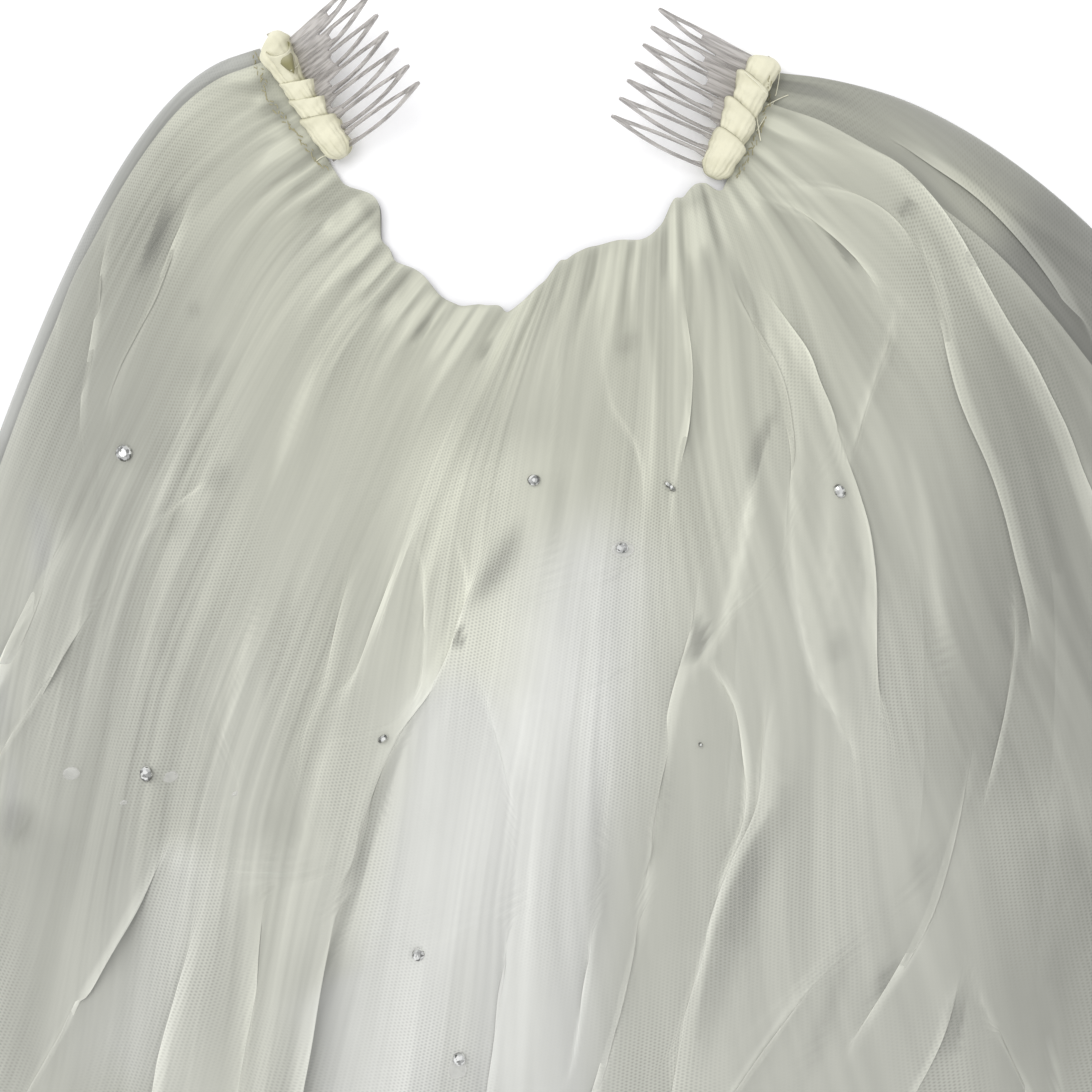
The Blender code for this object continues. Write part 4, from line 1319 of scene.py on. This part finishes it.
@dataclass
class SideComb:
    """A small clear side comb: a rail and seven teeth of two legs that close at the tip."""

    side: Side
    layout: FanLayout
    from_share: float
    to_share: float
    roll_deg: float
    pitch: float = 5.3
    teeth: int = 7
    thickness: float = 1.6
    edge_radius: float = 0.42
    rail_length: float = 38.2
    rail_half_width: float = 2.5
    reach: float = 37.5
    flat_until: float = 5.8
    curl_deg: float = 30
    spread: float = 0.09
    rail_height: float = 4.75
    from_heading: float = 3.5
    slot_end: float = 31.4
    outline: Table = (
        ("out", "half_width"),
        (2.5, 2.42),
        (9.0, 2.42),
        (15.0, 2.40),
        (20.0, 2.20),
        (25.0, 1.80),
        (29.0, 1.35),
        (33.5, 0.85),
        (36.6, 0.55),
    )
    slot: Table = (
        ("out", "half_width"),
        (4.2, 0.90),
        (9.0, 1.45),
        (15.0, 1.42),
        (20.0, 1.22),
        (25.0, 0.82),
        (29.0, 0.38),
    )
    webs: Table = (
        ("slot_from", "gap_to"),
        (21.0, 15.0),
        (17.5, 13.0),
        (14.0, 10.0),
        (9.5, 6.5),
        (6.0, 4.0),
        (4.2, 2.5),
        (4.2, 2.5),
    )

    def rail_frame(self) -> tuple[np.ndarray, np.ndarray, np.ndarray]:
        """Find the rail beside the heading.

        Returns:
            The middle of the rail, the way along it and the way its teeth point, in the plan.
        """
        first, last = self.layout.heading_line(np.array([self.from_share, self.to_share]))
        along = (last - first) / np.linalg.norm(last - first)
        teeth = np.array([-along[1], along[0]])
        return (first + last) / 2 + teeth * self.from_heading, along, teeth

    def curled(self, out: np.ndarray, up: np.ndarray) -> tuple[np.ndarray, np.ndarray]:
        """Curl the flat comb into its arc, then roll it back about its rail."""
        radius = (self.reach - self.flat_until) / math.radians(self.curl_deg)
        turn = np.maximum(0.0, out - self.flat_until) / radius
        curved_out = np.where(out > self.flat_until, self.flat_until + (radius - up) * np.sin(turn), out)
        curved_up = up * np.cos(turn) + radius * (1 - np.cos(turn))
        cos, sin = math.cos(math.radians(self.roll_deg)), math.sin(math.radians(self.roll_deg))
        return curved_out * cos - curved_up * sin, curved_out * sin + curved_up * cos

    def set_in_place(self, flat: np.ndarray) -> np.ndarray:
        """Bring points of the flat comb to their place on the veil.

        Args:
            flat: points in millimetres, x along the rail, y out along the teeth, z up.

        Returns:
            The same points in metres, curled, rolled and set beside the heading.
        """
        middle, along, teeth = self.rail_frame()
        wider = 1 + self.spread * np.maximum(0.0, flat[:, 1] - self.rail_half_width) / self.reach
        out, up = self.curled(flat[:, 1], flat[:, 2])
        plan = middle + np.outer(flat[:, 0] * wider, along) + np.outer(out, teeth)
        plan = plan * MM + np.array(PHOTO_CENTRE)
        return np.concatenate([plan, (up + self.rail_height)[:, None] * MM], axis=1)

    def outlines(self) -> list[list[tuple[float, float]]]:
        """Draw the comb flat: its rim, then the slot between each tooth's legs.

        Thin webs fill the slots and gaps next to the rail, furthest at the comb's top end.
        """
        half, rail = self.rail_length / 2, self.rail_half_width
        rim = [(-half, -rail), (half, -rail), (half, rail)]
        slots = []
        webs = rows_of(self.webs)
        if self.side is Side.LEFT:
            webs = webs[::-1]
        side = rows_of(self.outline)
        hole = rows_of(self.slot)
        for number in range(self.teeth):
            middle = ((self.teeth - 1) / 2 - number) * self.pitch
            near = [p for p in side if number == 0 or p["out"] >= webs[number]["gap_to"]]
            after = webs[min(number + 1, self.teeth - 1)]["gap_to"]
            far = [p for p in side if number == self.teeth - 1 or p["out"] >= after]
            rim += [(middle + p["half_width"], p["out"]) for p in near]
            rim += [(middle + 0.35, self.reach - 0.15), (middle - 0.35, self.reach - 0.15)]
            rim += [(middle - p["half_width"], p["out"]) for p in reversed(far)]
            start = webs[number]["slot_from"]
            width = float(curve_through(column(self.slot, "out"), column(self.slot, "half_width"), start))
            open_part = [p for p in hole if p["out"] > start + 0.5]
            slot = [(middle + width * 0.6, start)] + [(middle + p["half_width"], p["out"]) for p in open_part]
            slot.append((middle, self.slot_end))
            slot += [(middle - p["half_width"], p["out"]) for p in reversed(open_part)]
            slots.append([*slot, (middle - width * 0.6, start)])
        return [[*rim, (-half, rail)], *slots]

    def build(self, material: bpy.types.Material) -> bpy.types.Object:
        """Build the comb with rounded edges.

        Args:
            material: the clear plastic.

        Returns:
            The comb, which stands for its solid.
        """
        name = f"comb_{self.side.value}_clear"
        drawn = bpy.data.curves.new(name + "_outline", "CURVE")
        drawn.dimensions = "2D"
        drawn.fill_mode = "BOTH"
        drawn.extrude = self.thickness / 2 - self.edge_radius
        drawn.bevel_depth = self.edge_radius
        drawn.bevel_resolution = 2
        drawn.offset = -self.edge_radius
        for outline in self.outlines():
            spline = drawn.splines.new("POLY")
            spline.points.add(len(outline) - 1)
            for point, (x, y) in zip(spline.points, outline):
                point.co = (x, y, 0, 1)
            spline.use_cyclic_u = True
        bm = bmesh_of_curve(drawn)
        bmesh.ops.remove_doubles(bm, verts=bm.verts[:], dist=0.01)
        bmesh.ops.subdivide_edges(
            bm, edges=[edge for edge in bm.edges if edge.calc_length() > 2.6], cuts=2, use_grid_fill=False
        )
        flat = np.array([vert.co[:] for vert in bm.verts])
        for vert, place in zip(bm.verts, self.set_in_place(flat)):
            vert.co = place
        bmesh.ops.recalc_face_normals(bm, faces=bm.faces[:])
        middle, along, _ = self.rail_frame()
        place = Matrix.Translation((*(middle * MM + np.array(PHOTO_CENTRE)), 0.0))
        place = place @ Matrix.Rotation(math.atan2(along[1], along[0]), 4, "Z")
        comb = finished(name, bm, material, place)
        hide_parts(f"comb_{self.side.value}")
        return comb


# Turns of the ribbon from each wrap's upper end: where a turn starts and stops in
# millimetres, its size at both ends, how soon it tapers, how far its edge slants, how far
# its corner stands out towards the teeth, its pleats, and its middle (out towards the
# teeth and up from the rail) at both ends.
TURN_COLUMNS = (
    *("start", "stop", "wide", "narrow", "bend", "slant", "corner", "pleats"),
    *("out", "out_to", "up", "up_to"),
)
LEFT_TURNS = (
    TURN_COLUMNS,
    (-2.2, 15.5, 1.36, 0.76, 1.2, -1.5, 0.06, 5, 0.6, 0.4, 0.3, 0.0),
    (13.0, 21.0, 1.04, 0.82, 1.4, 2.4, 0.34, 7, 0.4, 0.6, 0.0, 0.2),
    (18.8, 27.5, 1.06, 0.80, 1.3, 2.6, 0.34, 6, 0.2, 0.9, 0.0, 0.2),
    (25.2, 40.0, 1.18, 0.95, 1.0, 2.2, 0.16, 8, 0.4, 1.2, 0.0, 0.0),
)
LEFT_ROLL = (
    TURN_COLUMNS,
    (0.6, 15.0, 0.92, 0.46, 0.8, 0.0, 0.00, 3, 3.0, 0.6, 4.2, 1.6),
)
RIGHT_TURNS = (
    TURN_COLUMNS,
    (0.0, 12.0, 1.22, 0.86, 1.6, 0.5, 0.00, 5, 0.4, 0.4, 0.0, 0.0),
    (8.5, 20.5, 1.26, 0.84, 1.3, -1.6, 0.16, 6, 0.9, 0.0, 0.2, 0.0),
    (17.5, 29.5, 1.30, 0.86, 1.3, -2.0, 0.18, 7, 0.7, 0.2, 0.0, 0.0),
    (26.5, 40.0, 1.24, 1.00, 1.2, -1.4, 0.14, 8, 0.2, 1.0, 0.2, 0.0),
)


@dataclass
class RibbonWrap:
    """The crepe ribbon wound round a comb's rail: each turn is a cone tucked into the next."""

    comb: SideComb
    name: str
    turns: Table
    open_end: bool = False
    length: float = 40.0
    radius: float = 4.3
    squareness: float = 0.85
    around: int = 80
    rings_a_turn: int = 34
    # The funnel inside the roll's open end; its dark column is painted shade inside the mouth.
    funnel: Table = (
        ("down", "size", "dark"),
        (6.5, 0.02, 1.0),
        (6.0, 0.40, 1.0),
        (3.6, 0.66, 1.0),
        (1.2, 0.80, 0.7),
    )

    def rings(self) -> list[dict]:
        """List the wrap's rings from its upper end down, each with its place, size and shade."""
        turns = rows_of(self.turns)
        rings = []
        if self.open_end:
            for row in rows_of(self.funnel):
                size = row["size"] * turns[0]["wide"]
                rings.append({**turns[0], "down": row["down"], "size": size, "t": 0.0, "dark": row["dark"]})
        for number, turn in enumerate(turns):
            for step in range(self.rings_a_turn):
                t = step / (self.rings_a_turn - 1)
                lip = math.sqrt(1 - (1 - min(1.0, t / 0.09)) ** 2)
                size = turn["wide"] + (turn["narrow"] - turn["wide"]) * t ** turn["bend"]
                size *= 0.84 + 0.16 * lip
                # Painted shade at both ends of each turn, where it tucks under its neighbours.
                dark = 0.8 * (1 - lip) + max(0.0, (t - 0.80) / 0.20) * 0.9
                if number == 0 and not self.open_end:
                    size *= math.sqrt(1 - (1 - min(1.0, t / 0.26)) ** 2)
                    dark = max(0.0, (t - 0.80) / 0.20)
                if number == len(turns) - 1:
                    size *= math.sqrt(max(0.0, 1 - max(0.0, (t - 0.72) / 0.28) ** 2))
                    dark = 0.8 * (1 - lip)
                down = turn["start"] + (turn["stop"] - turn["start"]) * t
                middle = {name: turn[name] + (turn[name + "_to"] - turn[name]) * t for name in ("out", "up")}
                rings.append({**turn, **middle, "down": down, "size": size, "t": t, "dark": dark})
        return rings

    def build(self, material: bpy.types.Material) -> bpy.types.Object:
        """Build the turns as one skin, with pleats that run into each pinch.

        Args:
            material: the crepe.

        Returns:
            The ribbon, which stands for its solid.
        """
        rings = self.rings()
        part = {name: np.array([ring[name] for ring in rings])[:, None] for name in rings[0]}
        turn = np.linspace(0, 2 * math.pi, self.around)[None, :]
        out, up = np.cos(turn), np.sin(turn)
        t, size = part["t"], part["size"]
        free = (1 - t) ** 1.5
        down = part["down"] + part["slant"] * out * free
        if self.open_end:
            first = (part["start"] == part["start"][0, 0]) * (1 - t) ** 1.5
            down = down + 5.6 * first * (0.5 + 0.5 * np.cos(turn - 1.0)) ** 1.4
        pleats = 0.05 * np.sin(part["pleats"] * turn + 5 * part["start"]) * t
        pleats = pleats + 0.03 * np.sin((part["pleats"] * 2 + 3) * turn + 3 * t) * (0.3 + t)
        waves = 0.03 * np.sin(0.9 * down + 2 * turn) + 0.02 * np.sin(1.9 * down - 3 * turn)
        size = size * (1 + pleats + waves)
        reach = self.radius * size * (1 + part["corner"] * np.maximum(0, out) ** 2 * free)
        # Painted shade in the pleats' hollows and on the underside, with a little tone that changes along the
        # wrap.
        shade = part["dark"] + 6 * np.maximum(0, -pleats - 0.03) + 0.45 * np.clip(1 - up, 0, 1) ** 3
        shade = np.clip(shade + 0.10 * np.sin(0.7 * down + turn), 0, 1)
        sign = 1 if self.comb.side is Side.LEFT else -1
        flat_x = sign * (down - self.length / 2)
        flat_y = part["out"] + reach * np.sign(out) * np.abs(out) ** self.squareness
        flat_z = part["up"] + self.radius * size * np.sign(up) * np.abs(up) ** self.squareness
        roll = math.radians(self.comb.roll_deg)
        middle, along, teeth = self.comb.rail_frame()
        rolled_out = (flat_y * math.cos(roll) - flat_z * math.sin(roll)).ravel()
        rolled_up = (flat_y * math.sin(roll) + flat_z * math.cos(roll)).ravel() + self.comb.rail_height
        plan = middle + np.outer(flat_x.ravel(), along) + np.outer(rolled_out, teeth)
        plan = plan * MM + np.array(PHOTO_CENTRE)
        bm = bmesh.new()
        bmesh.ops.create_grid(bm, x_segments=self.around - 1, y_segments=len(rings) - 1, size=0.5)
        painted_shade = bm.verts.layers.float.new("painted_shade")
        for vert, (x, y), z, dark in zip(bm.verts, plan, rolled_up, shade.ravel()):
            vert.co = (x, y, max(0.0002, z * MM))
            vert[painted_shade] = float(dark)
        bmesh.ops.remove_doubles(bm, verts=bm.verts[:], dist=0.000004)
        bmesh.ops.recalc_face_normals(bm, faces=bm.faces[:])
        ribbon = finished(self.name, bm, material)
        if not self.open_end:
            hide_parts(f"ribbon_wrap_{self.comb.side.value}")
        return ribbon


@dataclass(frozen=True)
class Threads:
    """Sewing thread, a tube for each stretch: loose ends, and the stitches beside each comb."""

    loose: Table = (
        ("radius", "lift", "path"),
        (0.20, 0.5, (743, 76, 750, 83, 757, 89, 765, 97)),
        (0.18, 0.4, (756, 118, 759, 128, 761, 140)),
        (0.15, 0.4, (757, 130, 768, 112, 776, 98)),
        (0.17, 0.5, (779, 72, 780, 82, 777, 93)),
        (0.15, 0.6, (294, 76, 299, 70, 300, 66)),
        (0.15, 0.4, (316, 160, 322, 154, 327, 157)),
        (0.15, 0.4, (768, 104, 779, 96, 790, 92)),
    )
    seams: Table = (
        ("count", "width", "path"),
        (54, 7.0, (254, 50, 260, 74, 271, 100, 289, 126, 307, 148, 326, 168)),
        (40, 5.0, (768, 80, 770, 96, 764, 118, 752, 148, 738, 176)),
    )
    seed: int = 12

    def build(self, below: BVHTree, ivory: bpy.types.Material, olive: bpy.types.Material) -> list:
        """Lay every thread on what is below it.

        Args:
            below: the ribbon's and the cloth's surfaces.
            ivory: the loose thread's finish.
            olive: the finish of the stitches, which lie in shade.

        Returns:
            The loose thread and the stitches, a piece each.
        """
        loose = [(row["radius"], row["lift"], photo_points(row["path"])) for row in rows_of(self.loose)]
        chance = random.Random(self.seed)
        stitches = []
        for seam in rows_of(self.seams):
            line = Path(seam["path"]).line
            at = np.linspace(0, len(line) - 1, seam["count"])
            middles = np.stack([np.interp(at, np.arange(len(line)), part) for part in line.T], axis=1)
            ways = np.gradient(middles, axis=0)
            for middle, way in zip(middles, ways):
                way = way / np.hypot(*way)
                square = np.array([-way[1], way[0]])
                middle = middle + square * chance.uniform(-0.5, 0.5) * seam["width"] * PHOTO_UNIT
                lean = chance.uniform(-0.9, 0.9)
                reach = (way * math.cos(lean) + square * math.sin(lean)) * chance.uniform(0.35, 0.85) * MM
                ends = np.array([middle - reach, middle, middle + reach])
                stitches.append((chance.uniform(0.12, 0.20), 0.05, ends))
        return [
            self.tubes("loose_threads", loose, below, ivory),
            self.tubes("seam_stitches", stitches, below, olive),
        ]

    @staticmethod
    def tubes(name: str, lines: list, below: BVHTree, material: bpy.types.Material) -> bpy.types.Object:
        """Turn lines on the table into tubes that lie on what is below them."""
        drawn = bpy.data.curves.new(name, "CURVE")
        drawn.dimensions = "3D"
        drawn.bevel_depth = MM
        drawn.bevel_resolution = 1
        drawn.use_fill_caps = True
        for radius, lift, plan in lines:
            spline = drawn.splines.new("NURBS")
            spline.points.add(len(plan) - 1)
            spline.use_endpoint_u = True
            spline.order_u = 3
            for point, (x, y) in zip(spline.points, plan):
                point.co = (x, y, (height_at(below, x, y) or 0.002) + lift * MM, 1)
                point.radius = radius
        return finished(name, bmesh_of_curve(drawn), material)


@dataclass
class Rhinestones:
    """Flat-backed stones glued to the tulle, some tilted, with the marks of their glue."""

    stones: Table = (
        ("x", "y", "across", "along", "tilt"),
        (128, 454, 5.2, 5.2, 8),
        (534, 481, 4.0, 3.6, 20),
        (621, 548, 4.2, 3.4, 10),
        (669, 487, 2.0, 4.6, 50),
        (836, 492, 3.4, 4.6, 30),
        (384, 737, 3.6, 2.2, 35),
        (149, 772, 4.0, 5.0, 5),
        (420, 950, 4.0, 4.0, 5),
        (460, 1054, 4.2, 4.2, 5),
        (700, 744, 1.4, 1.4, 0),
    )
    glue: Table = (
        ("x", "y", "across", "along"),
        (622, 549, 6.8, 4.6),
        (457, 1064, 6.4, 6.0),
        (74, 772, 5.2, 4.0),
        (171, 776, 5.0, 3.6),
        (128, 800, 2.4, 1.6),
        (240, 790, 2.2, 1.4),
    )

    def build(self, cloth: BVHTree, glass: bpy.types.Material, dried: bpy.types.Material) -> list:
        """Set every stone and dot of glue on the upper tier.

        Args:
            cloth: the upper tier's surface.
            glass: the stones' finish.
            dried: the glue's finish.

        Returns:
            The stones and the glue, a piece each.
        """
        pieces = []
        bm = bmesh.new()
        for number, row in enumerate(rows_of(self.glue)):
            self.dome(bm, cloth, row, 0.35, 4 * number, 14, 3)
        pieces.append(finished("glue_dots", bm, dried))
        bm = bmesh.new()
        for row in rows_of(self.stones):
            self.dome(bm, cloth, row, 1.5, row["tilt"], 12, 2)
        stones = finished("rhinestones", bm, glass)
        stones.data.polygons.foreach_set("use_smooth", [False] * len(stones.data.polygons))
        pieces.append(stones)
        return pieces

    @staticmethod
    def dome(
        bm: bmesh.types.BMesh,
        cloth: BVHTree,
        row: dict,
        height: float,
        tilt_deg: float,
        facets: int,
        rings: int,
    ) -> None:
        """Add one faceted, flat-backed dome that sits on the cloth.

        Args:
            bm: what it is added to.
            cloth: the surface below it.
            row: its place in photo units, and its width and length in millimetres.
            height: its height in millimetres.
            tilt_deg: how far it is turned about the vertical, and a little over.
            facets: how many facets it has round its rim.
            rings: how many rows of facets.
        """
        x, y = photo_points((row["x"], row["y"]))[0]
        floor = height_at(cloth, x, y) or 0.002
        made = bmesh.ops.create_circle(bm, cap_ends=True, segments=facets, radius=0.5)
        verts = made["verts"]
        face = next(f for f in bm.faces if set(f.verts) == set(verts))
        bmesh.ops.recalc_face_normals(bm, faces=[face])
        everything = set(verts)
        crown = math.pi / 2 * 0.72
        for ring in range(rings):
            turn = crown * (ring + 1) / rings
            face = bmesh.ops.extrude_discrete_faces(bm, faces=[face])["faces"][0]
            for vert in face.verts:
                flat = Vector((vert.co.x, vert.co.y, 0)).normalized() * 0.5 * math.cos(turn)
                vert.co = (flat.x, flat.y, math.sin(turn) / math.sin(crown))
            everything.update(face.verts)
        place = (
            Matrix.Translation((x, y, floor + 0.0001))
            @ Matrix.Rotation(math.radians(tilt_deg), 4, "Z")
            @ Matrix.Rotation(math.radians(tilt_deg * 0.3), 4, "X")
            @ Matrix.Diagonal((row["across"] * MM, row["along"] * MM, height * MM, 1))
        )
        bmesh.ops.transform(bm, matrix=place, verts=list(everything))


@dataclass
class Studio:
    """A plain pale floor, soft light and a camera straight above, as in the photograph."""

    camera_height: float = 0.605
    frame_width: float = 0.3276
    floor_side: float = 3.0
    sky: float = 0.92
    key_watts: float = 6.0
    key_size: float = 0.9
    key_place: tuple[float, float, float] = (-0.45, 0.55, 1.1)
    key_aim: tuple[float, float, float] = (0.01, 0.15, 0.0)
    sensor_mm: float = 36

    def build(self, floor_finish: bpy.types.Material) -> None:
        """Set up the floor, the light and the camera."""
        scene = bpy.context.scene
        bm = bmesh.new()
        bmesh.ops.create_grid(bm, x_segments=8, y_segments=8, size=self.floor_side / 2)
        mesh = bpy.data.meshes.new("studio_floor")
        bm.to_mesh(mesh)
        bm.free()
        mesh.materials.append(floor_finish)
        floor = bpy.data.objects.new("studio_floor", mesh)
        scene.collection.objects.link(floor)
        world = bpy.data.worlds.new("soft_daylight")
        world.use_nodes = True
        world.node_tree.nodes["Background"].inputs["Color"].default_value = linear("#FDFDFF")
        world.node_tree.nodes["Background"].inputs["Strength"].default_value = self.sky
        scene.world = world
        light = bpy.data.lights.new("softbox", "AREA")
        light.shape = "DISK"
        light.size = self.key_size
        light.energy = self.key_watts
        softbox = bpy.data.objects.new("softbox", light)
        softbox.location = self.key_place
        aim = Vector(self.key_aim) - softbox.location
        softbox.rotation_euler = aim.to_track_quat("-Z", "Y").to_euler()
        scene.collection.objects.link(softbox)
        lens = bpy.data.cameras.new("camera")
        lens.sensor_width = self.sensor_mm
        lens.lens = self.sensor_mm * (self.camera_height - 0.005) / self.frame_width
        lens.clip_start = 0.01
        camera = bpy.data.objects.new("camera", lens)
        camera.location = (*PHOTO_CENTRE, self.camera_height)
        scene.collection.objects.link(camera)
        scene.camera = camera
        scene.view_settings.view_transform = "Standard"
        scene.cycles.transparent_max_bounces = 24
        scene.cycles.max_bounces = 4
        scene.cycles.diffuse_bounces = 2


def main() -> None:
    """Build every piece of the veil in order and report each one."""
    logging.basicConfig(level=logging.INFO, format="%(message)s")
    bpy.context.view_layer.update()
    layout = FanLayout()
    floor_finish = PlainFinish("white_matt_board", "#FFFFFF", "#FCFCFC", 40.0, 0.9)
    Studio().build(floor_finish.material())
    tulle = TulleFinish().material()
    plastic = ClearPlasticFinish().material()
    crepe = CrepeFinish().material()
    left = SideComb(Side.LEFT, layout, 0.0, 0.207, 22.0)
    right = SideComb(Side.RIGHT, layout, 0.845, 1.0, 4.0)
    for comb in (left, right):
        log.info("comb %s: %d faces", comb.side.value, len(comb.build(plastic).data.polygons))
    wraps = (
        RibbonWrap(left, "ribbon_left_turns", LEFT_TURNS),
        RibbonWrap(left, "ribbon_left_roll", LEFT_ROLL, open_end=True),
        RibbonWrap(right, "ribbon_right_turns", RIGHT_TURNS),
    )
    ribbons = [wrap.build(crepe) for wrap in wraps]
    for ribbon in ribbons:
        log.info("%s: %d faces", ribbon.name, len(ribbon.data.polygons))
    lower = TulleTier(
        tier=Tier.LOWER,
        name="tulle_sheet_lower",
        layout=layout,
        over=("tulle_lower_tier",),
        cut=(0.80, 0.60),
        cut_area=0.40,
        folds=LOWER_FOLDS,
        net=(NET_COLUMNS, *LOWER_NET, *SEAM_NET),
        cover=0.84,
        # The lower tier's low tone is painted shade, as it lies under the upper tier.
        tone=0.46,
        hem_tone=0.34,
        warmth=0.35,
        net_turn_deg=11.0,
        seed=5,
    )
    upper = TulleTier(
        tier=Tier.UPPER,
        name="tulle_sheet_upper",
        layout=layout,
        over=("tulle_upper_tier", "gathered_heading"),
        cut=(0.70, 0.46),
        cut_area=0.27,
        folds=UPPER_FOLDS,
        net=(NET_COLUMNS, *UPPER_NET, *SEAM_NET),
        from_share=0.0225,
        to_share=0.9567,
        to_way=0.78,
        cover=0.62,
        tone=0.86,
        net_turn_deg=-4.0,
        seed=8,
    )
    sheets = [tier.build(tulle) for tier in (lower, upper)]
    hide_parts("tulle_lower_tier")
    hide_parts("tulle_upper_tier", "gathered_heading")
    for sheet in sheets:
        log.info("%s: %d faces", sheet.name, len(sheet.data.polygons))
    glue = PlainFinish("clear_glue_dried", "#F2F2EE", "#C9C9C4", 0.6, 0.15, 0.35)
    for piece in Rhinestones().build(surface_of([sheets[1]]), CutGlassFinish().material(), glue.material()):
        log.info("%s: %d faces", piece.name, len(piece.data.polygons))
    thread = PlainFinish("cotton_thread_spun", "#EDEBD8", "#D8D5BC", 0.3, 0.8)
    shaded = PlainFinish("cotton_thread_shaded", "#B4AF90", "#8E8866", 0.4, 0.9)
    for piece in Threads().build(surface_of([*ribbons, *sheets]), thread.material(), shaded.material()):
        log.info("%s: %d faces", piece.name, len(piece.data.polygons))


if __name__ == "__main__":
    main()
